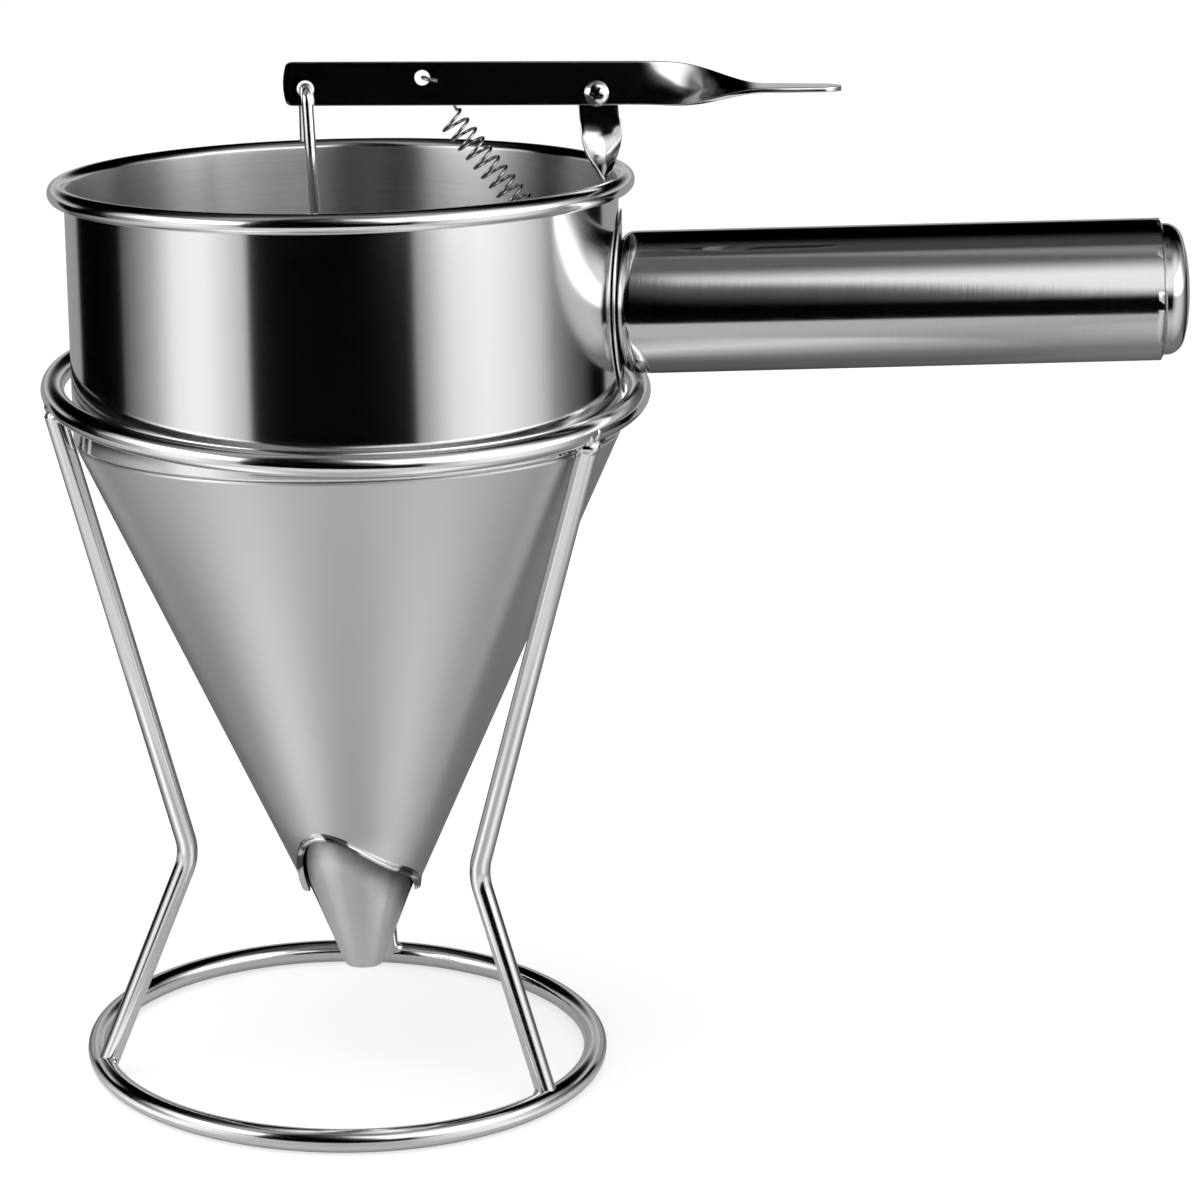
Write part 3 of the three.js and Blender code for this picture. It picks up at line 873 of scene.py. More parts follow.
def wire_tree():
    """Round wire along the object's edges, its corners bent to a radius."""
    tree = bpy.data.node_groups.get("round_wire")
    if tree:
        return tree
    tree = new_tree(
        "round_wire",
        [
            ("Wire radius", "NodeSocketFloat", 0.002),
            ("Bend radius", "NodeSocketFloat", 0.0),
            ("Bend steps", "NodeSocketInt", 1),
            ("Sides", "NodeSocketInt", 24),
            ("Material", "NodeSocketMaterial", None),
        ],
    )
    start = tree.nodes.new("NodeGroupInput")
    curve = node_in(tree, "GeometryNodeMeshToCurve", None, {"Mesh": (start, "Geometry")})
    bent = node_in(
        tree,
        "GeometryNodeFilletCurve",
        {"mode": "POLY"},
        {
            "Curve": (curve, 0),
            "Radius": (start, "Bend radius"),
            "Limit Radius": True,
            "Count": (start, "Bend steps"),
        },
    )
    section = node_in(
        tree,
        "GeometryNodeCurvePrimitiveCircle",
        {"mode": "RADIUS"},
        {"Resolution": (start, "Sides"), "Radius": (start, "Wire radius")},
    )
    wire = node_in(
        tree,
        "GeometryNodeCurveToMesh",
        None,
        {"Curve": (bent, 0), "Profile Curve": (section, 0), "Fill Caps": True},
    )
    smooth = node_in(tree, "GeometryNodeSetShadeSmooth", None, {"Geometry": (wire, 0)})
    ended(tree, start, (smooth, 0))
    return tree


def bead_tree():
    """A lump of weld on each point, stretched and turned by the point's own attributes."""
    tree = new_tree(
        "weld_beads",
        [
            ("Unevenness", "NodeSocketFloat", 0.12),
            ("Seed", "NodeSocketInt", 3),
            ("Material", "NodeSocketMaterial", None),
        ],
    )
    start = tree.nodes.new("NodeGroupInput")
    size, turn = (
        node_in(tree, "GeometryNodeInputNamedAttribute", {"data_type": "FLOAT_VECTOR"}, {"Name": name})
        for name in ("bead_size", "bead_turn")
    )
    points = node_in(tree, "GeometryNodeMeshToPoints", None, {"Mesh": (start, "Geometry")})
    ball = node_in(tree, "GeometryNodeMeshIcoSphere", None, {"Radius": 1.0, "Subdivisions": 4})
    uneven = node_in(
        tree,
        "FunctionNodeRandomValue",
        {"data_type": "FLOAT"},
        {2: 0.88, 3: 1.12, "Seed": (start, "Seed")},
    )
    scale = node_in(
        tree, "ShaderNodeVectorMath", {"operation": "SCALE"}, {0: (size, 0), "Scale": (uneven, 1)}
    )
    rotation = node_in(tree, "FunctionNodeEulerToRotation", None, {0: (turn, 0)})
    placed = node_in(
        tree,
        "GeometryNodeInstanceOnPoints",
        None,
        {"Points": (points, 0), "Instance": (ball, 0), "Rotation": (rotation, 0), "Scale": (scale, 0)},
    )
    real = node_in(tree, "GeometryNodeRealizeInstances", None, {"Geometry": (placed, 0)})
    where = node_in(tree, "GeometryNodeInputPosition")
    normal = node_in(tree, "GeometryNodeInputNormal")
    lumps = node_in(tree, "ShaderNodeTexNoise", None, {"Vector": (where, 0), "Scale": 500.0, "Detail": 1.0})
    centred = node_in(tree, "ShaderNodeMath", {"operation": "SUBTRACT"}, {0: (lumps, 0), 1: 0.5})
    amount = node_in(
        tree, "ShaderNodeMath", {"operation": "MULTIPLY"}, {0: (centred, 0), 1: (start, "Unevenness")}
    )
    shift = node_in(
        tree, "ShaderNodeVectorMath", {"operation": "SCALE"}, {0: (normal, 0), "Scale": (amount, 0)}
    )
    lumpy = node_in(tree, "GeometryNodeSetPosition", None, {"Geometry": (real, 0), "Offset": (shift, 0)})
    smooth = node_in(tree, "GeometryNodeSetShadeSmooth", None, {"Geometry": (lumpy, 0)})
    ended(tree, start, (smooth, 0))
    return tree


def grown(name, mesh, tree, inputs):
    """A mesh of points and edges run through a tree, as a plain mesh."""
    piece = linked(name, mesh)
    modifier = piece.modifiers.new("grow", "NODES")
    modifier.node_group = tree
    for item in tree.interface.items_tree:
        if item.item_type == "SOCKET" and item.in_out == "INPUT" and item.name in inputs:
            modifier[item.identifier] = inputs[item.name]
    made = plain(piece)
    made.name = name
    return made


def wire_mesh(name, points, place, radius, material, bend=0.0, bend_steps=1, sides=24, loop=False):
    """Wire along points given in millimetres; radius and bend are in metres."""
    path = bpy.data.meshes.new(name)
    edges = [(i, i + 1) for i in range(len(points) - 1)]
    if loop:
        edges.append((len(points) - 1, 0))
    path.from_pydata(points, edges, [])
    path.transform(place)
    inputs = {
        "Wire radius": radius,
        "Bend radius": bend,
        "Bend steps": bend_steps,
        "Sides": sides,
        "Material": finish(material),
    }
    mesh = grown(name, path, wire_tree(), inputs)
    mesh.set_sharp_from_angle(angle=math.radians(50))
    return mesh


def circle(radius, height, steps=256):
    """Points of a level circle about Z."""
    turns = [2 * math.pi * i / steps for i in range(steps)]
    return [(radius * math.cos(t), radius * math.sin(t), height) for t in turns]


# The pieces' shapes


def cone_radius(z):
    """The cone's outer radius at a height."""
    return BOWL_RADIUS + (z - SHOULDER) * CONE_SLOPE


def seam_at(turn):
    """The height of the cone's wavy lower edge at a turn."""
    ripple = SEAM_RIPPLE * math.cos(4 * (turn - SEAM_RIPPLE_TURN))
    return SEAM_HEIGHT + SEAM_WAVE * math.cos(2 * (turn - SEAM_TURN)) + ripple


def nozzle_radius(z):
    """The nozzle's outer radius at a height: under the cone's lap, then narrowing to the outlet."""
    if z >= NOZZLE_BREAK:
        return cone_radius(z) - (SHEET + LAP_GAP) * ACROSS
    share = (z - OUTLET_HEIGHT) / (NOZZLE_BREAK - OUTLET_HEIGHT)
    return OUTLET_RADIUS + (nozzle_radius(NOZZLE_BREAK) - OUTLET_RADIUS) * share


def eased(value, low, high):
    """A smooth step from 0 at low to 1 at high."""
    share = min(max((value - low) / (high - low), 0), 1)
    return share * share * (3 - 2 * share)


def leg_point(radius, height, degrees):
    """A place by its distance from the stand's axis, its height and its direction."""
    turn = math.radians(degrees)
    return (radius * math.cos(turn), radius * math.sin(turn), height)


def leg_path(degrees):
    """A leg's corners: top, waist and foot."""
    corners = [(LEG_TOP_RADIUS, LEG_TOP_HEIGHT), (WAIST_RADIUS, WAIST_HEIGHT), (LEG_FOOT_RADIUS, RING_WIRE)]
    return [leg_point(r, z, degrees) for r, z in corners]


def lever_section(x):
    """One section of the lever at x along it, in the lever's own frame."""
    turn = math.pi / 2 * eased(x, TWIST_START, TWIST_END)
    narrowing = 1 + (PAD_END_WIDTH / LEVER_WIDTH - 1) * eased(x, TWIST_END, LEVER_FRONT)
    left, right = x + LEVER_BACK, LEVER_FRONT - x
    if left < BACK_ROUND:
        narrowing *= 1 - BACK_ROUND_SHARE * (1 - left / BACK_ROUND) ** 2
    if right < PAD_ROUND:
        narrowing *= 1 - PAD_ROUND_SHARE * (1 - right / PAD_ROUND) ** 2
    lift = LEVER_LIFT - PAD_DROP * eased(x, TWIST_START, TWIST_END)
    bulge = BACK_BULGE * max(0, 1 - left / BACK_BULGE_REACH)
    points = []
    for v, u in rounded_section(LEVER_WIDTH, STRAP_SHEET, STRAP_EDGE):
        across = v * narrowing
        y = u * math.cos(turn) + across * math.sin(turn)
        z = lift - u * math.sin(turn) + across * math.cos(turn)
        points.append((x + bulge * (2 * v / LEVER_WIDTH) ** 2, y, z))
    return points


def post_line():
    """The post's middle line from its top down to the tab's end, as points."""

    def across(share):
        return PIVOT.x + (POST_WALL_X - PIVOT.x) * share

    bend = PIVOT.z - POST_TAIL
    knots = [
        (PIVOT.x, PIVOT.z + POST_TOP),
        (across(0.25), PIVOT.z - POST_TWIST_TOP),
        (across(0.5), PIVOT.z - (POST_TWIST_TOP + POST_TWIST_BOTTOM) / 2),
        (across(0.8), PIVOT.z - POST_TWIST_BOTTOM),
        (POST_WALL_X, (PIVOT.z - POST_TWIST_BOTTOM + bend) / 2),
        (POST_WALL_X, bend),
        (POST_WALL_X - 0.1 * TAB_REACH, bend - 0.28 * TAB_FALL),
        (POST_WALL_X - 0.33 * TAB_REACH, bend - 0.53 * TAB_FALL),
        (POST_WALL_X - 0.7 * TAB_REACH, bend - 0.79 * TAB_FALL),
        (POST_WALL_X - TAB_REACH, bend - TAB_FALL),
    ]
    return smooth_line([Vector((x, 0, z)) for x, z in knots])


def smooth_line(knots, per_span=24):
    """A centripetal spline through the knots, as points."""
    ends = [2 * knots[0] - knots[1], *knots, 2 * knots[-1] - knots[-2]]
    made = []
    for p0, p1, p2, p3 in zip(ends, ends[1:], ends[2:], ends[3:]):
        t1 = max((p1 - p0).length, 1e-9) ** 0.5
        t2 = t1 + max((p2 - p1).length, 1e-9) ** 0.5
        t3 = t2 + max((p3 - p2).length, 1e-9) ** 0.5
        for k in range(per_span):
            t = t1 + (t2 - t1) * k / per_span
            a1 = p0 * ((t1 - t) / t1) + p1 * (t / t1)
            a2 = p1 * ((t2 - t) / (t2 - t1)) + p2 * ((t - t1) / (t2 - t1))
            a3 = p2 * ((t3 - t) / (t3 - t2)) + p3 * ((t - t2) / (t3 - t2))
            b1 = a1 * ((t2 - t) / t2) + a2 * (t / t2)
            b2 = a2 * ((t3 - t) / (t3 - t1)) + a3 * ((t - t1) / (t3 - t1))
            made.append(b1 * ((t2 - t) / (t2 - t1)) + b2 * ((t - t1) / (t2 - t1)))
    made.append(knots[-1].copy())
    return made


def line_length(points):
    return sum((b - a).length for a, b in zip(points, points[1:]))


def point_along(points, distance):
    """The point and tangent at a distance along a line of points."""
    gone = 0.0
    for a, b in zip(points, points[1:]):
        step = (b - a).length
        if gone + step >= distance:
            return a.lerp(b, (distance - gone) / step), (b - a).normalized()
        gone += step
    return points[-1].copy(), (points[-1] - points[-2]).normalized()


def on_lever(x, lift):
    """A place on the lever as a place on the funnel."""
    turn = math.radians(LEVER_FALL)
    along = x * math.cos(turn) + lift * math.sin(turn)
    up = lift * math.cos(turn) - x * math.sin(turn)
    return Vector((PIVOT.x + along, LEVER_Y, PIVOT.z + up))


def tab_hole():
    """The hole in the post's tab and the post's direction there."""
    line = post_line()
    return point_along(line, line_length(line) - TAB_HOLE_PLACE)


def spring_path():
    """The spring's wire: a tail through the lever, its curls, and a tail through the post's tab."""
    hole = on_lever(*SPRING_PLACE)
    front = LEVER_Y - STRAP_SHEET / 2 - GAP - 2 * SPRING_WIRE
    behind = LEVER_Y + STRAP_SHEET / 2 + GAP + 2 * SPRING_WIRE
    tab, _ = tab_hole()
    start = Vector((hole.x + COIL_ASIDE, COIL_BEHIND, hole.z - COIL_DROP))
    along = (tab - start).normalized()
    end = tab - along * SPRING_RUN
    turns = round((end - start).length / SPRING_PITCH)
    side = Vector((0, 1, 0)).cross(along).normalized()
    other = along.cross(side)
    steps = 24
    coil = []
    for i in range(round(steps * 3 / 8), turns * steps + 1):
        turn = 2 * math.pi * i / steps
        centre = start.lerp(end, i / (turns * steps))
        coil.append(centre + side * SPRING_RADIUS * math.cos(turn) + other * SPRING_RADIUS * math.sin(turn))

    def tail(share, y):
        return Vector((hole.x + share * SPRING_TAIL, y, hole.z - 0.25 * share * SPRING_TAIL))

    lead = coil[0] + Vector((-SPRING_LEAD / 2, 0, SPRING_LEAD))
    threaded = [tail(1, front), tail(0.4, front), tail(0.1, (front + LEVER_Y) / 2), tail(0, LEVER_Y)]
    first = smooth_line([*threaded, tail(0.15, behind), lead, coil[0]], 8)
    last = smooth_line([coil[-1], end + along * 0.4 * SPRING_RUN, tab, tab + along * SPRING_HOOK], 8)
    return first[:-1] + coil[:-1] + last


# Operators: one for each piece or group of like pieces


class Making(bpy.types.Operator):
    """Base of the operators that build pieces."""

    bl_options = {"REGISTER", "UNDO"}

    def execute(self, context):
        scene = context.scene
        self.build(scene.dispenser_stand, scene.dispenser_funnel)
        return {"FINISHED"}


class DISPENSER_OT_stand_rings(Making):
    """Builds the upper ring and the base ring of bright wire"""

    bl_idname = "dispenser.stand_rings"
    bl_label = "Stand rings"

    def build(self, stand, funnel):
        rings = {
            "top_ring_wire": (TOP_RING_RADIUS, TOP_RING_HEIGHT, "stand_top_ring"),
            "base_ring_wire": (BASE_RING_RADIUS, RING_WIRE, "stand_base_ring"),
        }
        for name, (radius, height, node) in rings.items():
            path = circle(radius, height)
            sides = stand.wire_sides
            mesh = wire_mesh(name, path, STAND, stand.ring_wire, "bright_wire", sides=sides, loop=True)
            worn(name, mesh, "stand", [node])


class DISPENSER_OT_stand_legs(Making):
    """Builds the three bent wire legs"""

    bl_idname = "dispenser.stand_legs"
    bl_label = "Stand legs"

    def build(self, stand, funnel):
        bent = {"bend": stand.waist_bend, "bend_steps": 16, "sides": stand.wire_sides}
        for side, degrees in LEG_DEGREES.items():
            name = f"leg_wire_{side}"
            mesh = wire_mesh(name, leg_path(degrees), STAND, stand.leg_wire, "bright_wire", **bent)
            worn(name, mesh, "stand", [f"stand_leg_{side}"])


class DISPENSER_OT_weld_beads(Making):
    """Builds the lumps of weld where the legs meet the rings"""

    bl_idname = "dispenser.weld_beads"
    bl_label = "Weld beads"

    def build(self, stand, funnel):
        beads = []
        for degrees in LEG_DEGREES.values():
            for apart, lower, size in TOP_BEADS:
                place = leg_point(TOP_RING_RADIUS + TOP_BEAD_OUT, TOP_RING_HEIGHT + lower, degrees + apart)
                beads.append((place, (size, size, size * 1.15), degrees))
            place = leg_point(LEG_TOP_RADIUS - COLLAR_BEAD_IN, TOP_RING_HEIGHT - COLLAR_BEAD_DROP, degrees)
            beads.append((place, COLLAR_BEAD, degrees))
            for apart, size in BASE_BEADS:
                low = RING_WIRE + BASE_BEAD_RISE
                place = leg_point(BASE_RING_RADIUS - BASE_BEAD_IN, low, degrees + apart)
                beads.append((place, (size, size * 1.12, size * 0.85), degrees))
        mesh = bpy.data.meshes.new("weld_points")
        mesh.from_pydata([place for place, _, _ in beads], [], [])
        mesh.transform(STAND)
        size = mesh.attributes.new("bead_size", "FLOAT_VECTOR", "POINT")
        turn = mesh.attributes.new("bead_turn", "FLOAT_VECTOR", "POINT")
        for i, (_, extent, degrees) in enumerate(beads):
            size.data[i].vector = [e * MM for e in extent]
            turn.data[i].vector = (0, 0, math.radians(degrees))
        inputs = {"Unevenness": BEAD_UNEVENNESS * MM, "Seed": 3, "Material": finish("weld_metal")}
        made = grown("weld_beads", mesh, bead_tree(), inputs)
        worn("weld_beads", made, "stand", ())


class DISPENSER_OT_funnel_wall(Making):
    """Builds the bowl's wall: polished outside, brushed inside, its rim rolled into a bead"""

    bl_idname = "dispenser.funnel_wall"
    bl_label = "Funnel wall"

    def build(self, stand, funnel):
        inside = BOWL_RADIUS - SHEET
        bead = (RIM_RADIUS - inside) / 2
        centre = RIM_RADIUS - bead
        levels = [SHOULDER + 0.5 + (RIM_HEIGHT - SHOULDER - 3) * i / 6 for i in range(7)]
        outline = [
            (BOWL_RADIUS - SHOULDER_EDGE, SHOULDER),
            (BOWL_RADIUS - 0.1, SHOULDER + 0.15),
            *[(BOWL_RADIUS, z) for z in levels],
            *arc(centre, RIM_HEIGHT, bead - SHEET, 180, RIM_CURL_END, 20),
            *arc(centre, RIM_HEIGHT, bead, RIM_CURL_END, 180, 40),
            *[(inside, z) for z in reversed(levels)],
            (inside, SHOULDER),
        ]
        shape = lathe(outline, funnel.turn_steps)
        mesh = mesh_from("funnel_wall_skin", shape, Matrix.Identity(4), 50)
        for face in mesh.polygons:
            middle = face.center
            low = middle.z < RIM_HEIGHT + INSIDE_MARGIN
            within = math.hypot(middle.x, middle.y) < BOWL_RADIUS - INSIDE_MARGIN
            face.material_index = int(low and within)
        mesh.transform(FUNNEL)
        finishes = ["polished_sheet", "brushed_inside"]
        dressed("funnel_wall_skin", mesh, finishes, "funnel", ["funnel_wall"])


class DISPENSER_OT_funnel_cone(Making):
    """Builds the cone with its wavy lower edge, and the nozzle under it"""

    bl_idname = "dispenser.funnel_cone"
    bl_label = "Funnel cone and nozzle"

    def build(self, stand, funnel):
        self.cone(funnel.turn_steps)
        self.nozzle(funnel.turn_steps)

    def cone(self, steps):
        collar = BOWL_RADIUS - SHEET - GAP
        top = SHOULDER - GAP
        levels = [top - 0.6 - (top - SEAM_HEIGHT - SEAM_WAVE - 2) * i / 8 for i in range(9)]
        bead = [math.radians(-85 + 155 * i / 10) for i in range(11)]
        lower = [(LIP_BEAD * math.sin(t), LIP_RISE + LIP_BEAD * math.cos(t)) for t in bead]
        lower = [(-LIP_FLARE / 2, -LAP_SHEET * 0.9), *lower, (LIP_FLARE, 0.0)]
        fixed = [(cone_radius(z), z) for z in reversed(levels)]
        fixed += [(cone_radius(top) - 0.5, top - 0.08), (collar, top), (collar, top + COLLAR_HEIGHT)]
        fixed += [(collar - SHEET, top + COLLAR_HEIGHT), (collar - SHEET, top)]
        fixed += [(cone_radius(z) - SHEET * ACROSS, z) for z in levels]

        def ring_at(turn):
            """The section at one turn: the lip follows the seam, the rest is level."""
            following = []
            hang = LIP_HANG * math.cos(2 * (turn - LIP_HANG_TURN))
            for rise, proud in (*lower, (0.3, -LAP_SHEET)):
                z = seam_at(turn) + rise - hang
                following.append((cone_radius(z) + proud * ACROSS, z))
            return [*following[:-1], *fixed, following[-1]]

        shape = bmesh.new()
        turns = [2 * math.pi * i / steps for i in range(steps)]
        sections = []
        for turn in turns:
            points = [(r * math.cos(turn), r * math.sin(turn), z) for r, z in ring_at(turn)]
            sections.append([shape.verts.new(point) for point in points])
        for section, following in zip(sections, sections[1:] + sections[:1]):
            for k in range(len(section)):
                j = (k + 1) % len(section)
                face = shape.faces.new((section[k], following[k], following[j], section[j]))
                if k < len(lower) - 1:
                    face.material_index = 1
                elif k > len(lower) + len(levels) + 3:
                    face.material_index = 2
        mesh = mesh_from("funnel_cone_skin", shape, FUNNEL, 40)
        finishes = ["satin_sheet", "seam_edge_painted_reflection", "brushed_inside"]
        dressed("funnel_cone_skin", mesh, finishes, "funnel", ["funnel_cone"])

    def nozzle(self, steps):
        lip = SHEET / 2
        levels = [NOZZLE_BREAK + (NOZZLE_TOP - NOZZLE_BREAK) * i / 6 for i in range(1, 7)]
        outline = rounded(
            [
                (OUTLET_RADIUS - lip, OUTLET_HEIGHT),
                (OUTLET_RADIUS, OUTLET_HEIGHT + lip, 0.35),
                (nozzle_radius(NOZZLE_BREAK), NOZZLE_BREAK, NOZZLE_BEND),
                *[(nozzle_radius(z), z) for z in levels],
                *[(nozzle_radius(z) - SHEET * ACROSS, z) for z in reversed(levels)],
                (nozzle_radius(NOZZLE_BREAK) - SHEET * ACROSS, NOZZLE_BREAK, NOZZLE_BEND),
                (OUTLET_RADIUS - SHEET * ACROSS, OUTLET_HEIGHT + lip, 0.3),
                (OUTLET_RADIUS - SHEET * ACROSS, OUTLET_HEIGHT),
            ],
            8,
        )
        mesh = mesh_from("nozzle_skin", lathe(outline, steps), Matrix.Identity(4), 40)
        # How far below the seam each point lies; the nozzle's painted shade is read from it
        below = mesh.attributes.new("below_seam", "FLOAT", "POINT")
        for vert, entry in zip(mesh.vertices, below.data):
            entry.value = seam_at(math.atan2(vert.co.y, vert.co.x)) - vert.co.z
        mesh.transform(FUNNEL)
        dressed("nozzle_skin", mesh, ["nozzle_painted_shade"], "funnel", ["nozzle"])


class DISPENSER_OT_handle(Making):
    """Builds the plate on the wall, the tube and the domed cap"""

    bl_idname = "dispenser.handle"
    bl_label = "Handle"

    def build(self, stand, funnel):
        self.flange(funnel.handle_steps)
        self.tube(funnel.handle_steps)
        self.cap(funnel.handle_steps)

    def flange(self, steps):
        """An oval plate bent to the wall's curve, its edge rounded."""
        far = FLANGE_START + FLANGE_SHEET
        round_edge = FLANGE_SHEET / 2
        inner = FLANGE_HALF_HEIGHT - round_edge
        radii = [inner * i / 14 for i in range(15)]
        edge = arc(inner, FLANGE_START + round_edge, round_edge, -90, 90, 8)
        outline = [(r, FLANGE_START) for r in radii[:-1]] + edge + [(r, far) for r in reversed(radii[:-1])]
        shape = lathe(outline, steps, closed=False)
        bmesh.ops.transform(shape, matrix=ALONG_X, verts=shape.verts)
        for vert in shape.verts:
            vert.co.y *= FLANGE_HALF_WIDTH / FLANGE_HALF_HEIGHT
            bend_to_wall(vert)
        mesh = mesh_from("handle_flange_skin", shape, FLANGE, 60)
        dressed("handle_flange_skin", mesh, ["polished_sheet"], "funnel", ["handle_flange"])

    def tube(self, steps):
        """The tube; its rounded inner end follows the flange."""
        mouth = TUBE_START_RADIUS - TUBE_MOUTH_INSET
        start = FLANGE_START + FLANGE_SHEET + 0.1 + TUBE_MOUTH_REACH
        end = TUBE_END - TUBE_END_RUN

        def mouth_arc(sheet, first, last, parts):
            """The mouth's rounded corner, less a thickness of sheet."""
            inset, reach = TUBE_MOUTH_INSET - sheet, TUBE_MOUTH_REACH - sheet
            return [(mouth + r * inset, start + z * reach) for r, z in arc(0, 0, 1, first, last, parts)]

        run = [i / 12 for i in range(1, 12)]
        narrowing = TUBE_END_RADIUS - TUBE_START_RADIUS
        outline = [
            *mouth_arc(0, -90, 0, 14),
            *[(TUBE_START_RADIUS + narrowing * t, start + (end - start) * t) for t in run],
            *rounded([(TUBE_END_RADIUS, end), (TUBE_END_RADIUS, TUBE_END, TUBE_END_EDGE)], 6),
            (TUBE_END_RADIUS - SHEET, TUBE_END),
            (TUBE_START_RADIUS - SHEET, start),
            *mouth_arc(SHEET, -15, -90, 9),
        ]
        shape = lathe(outline, steps)
        bmesh.ops.transform(shape, matrix=ALONG_X, verts=shape.verts)
        for vert in shape.verts:
            if vert.co.x <= start + 0.001:
                bend_to_wall(vert)
        mesh = mesh_from("handle_tube_skin", shape, GRIP, 45)
        dressed("handle_tube_skin", mesh, ["buffed_tube"], "funnel", ["handle_tube"])

    def cap(self, steps):
        """The domed cap with its skirt inside the tube."""
        face = CAP_END - CAP_SHY
        corner = CAP_END - CAP_CORNER_START
        inner = CAP_RADIUS - CAP_CORNER
        outline = [
            (CAP_RADIUS - SHEET, TUBE_END - CAP_SKIRT),
            (CAP_RADIUS, TUBE_END - CAP_SKIRT),
            *arc(inner, corner, CAP_CORNER, 0, 80, 14),
            *[(r, face - CAP_DOME * (r / CAP_FACE_RADIUS) ** 2) for r in (10.2, 7.4, 4.6, 2.0)],
            (0, face),
            (0, face - SHEET),
            (10.0, CAP_END - SHEET - 1.1),
            *arc(inner, corner, CAP_CORNER - SHEET, 80, 0, 8),
        ]
        mesh = mesh_from("handle_cap_skin", lathe(outline, steps), GRIP @ ALONG_X, 45)
        dressed("handle_cap_skin", mesh, ["buffed_tube"], "funnel", ["handle_cap"])


class DISPENSER_OT_pivot_post(Making):
    """Builds the twisted strap that carries the lever's pivot"""

    bl_idname = "dispenser.pivot_post"
    bl_label = "Pivot post"

    def build(self, stand, funnel):
        line = post_line()
        whole = line_length(line)
        steps = 150
        sections = []
        for i in range(steps + 1):
            s = whole * i / steps
            at, tangent = point_along(line, s)
            turn = math.pi / 2 * (1 - eased(at.z, PIVOT.z - POST_TWIST_BOTTOM, PIVOT.z - POST_TWIST_TOP))
            near = min(s, whole - s, POST_END)
            narrowing = 1 - POST_END_SHARE * (1 - near / POST_END) ** 2
            side = Vector((math.cos(turn), math.sin(turn), 0))
            side = (side - tangent * side.dot(tangent)).normalized()
            face = side.cross(tangent)
            outline = rounded_section(STRAP_WIDTH, STRAP_SHEET, STRAP_EDGE)
            sections.append([at + side * v * narrowing + face * u for v, u in outline])
        tab, tangent = tab_hole()
        aim = Vector((0, 0, 1)).rotation_difference(Vector((tangent.z, 0, -tangent.x))).to_matrix().to_4x4()
        holes = [
            (Matrix.Translation(PIVOT) @ ALONG_Y, PIVOT_HOLE),
            (Matrix.Translation(tab) @ aim, TAB_HOLE),
        ]
        mesh = drilled(swept("pivot_post_skin", sections), holes)
        mesh.transform(FUNNEL)
        mesh = weighted(shaded(mesh, 50))
        dressed("pivot_post_skin", mesh, ["polished_strap"], "funnel", ["pivot_post"])


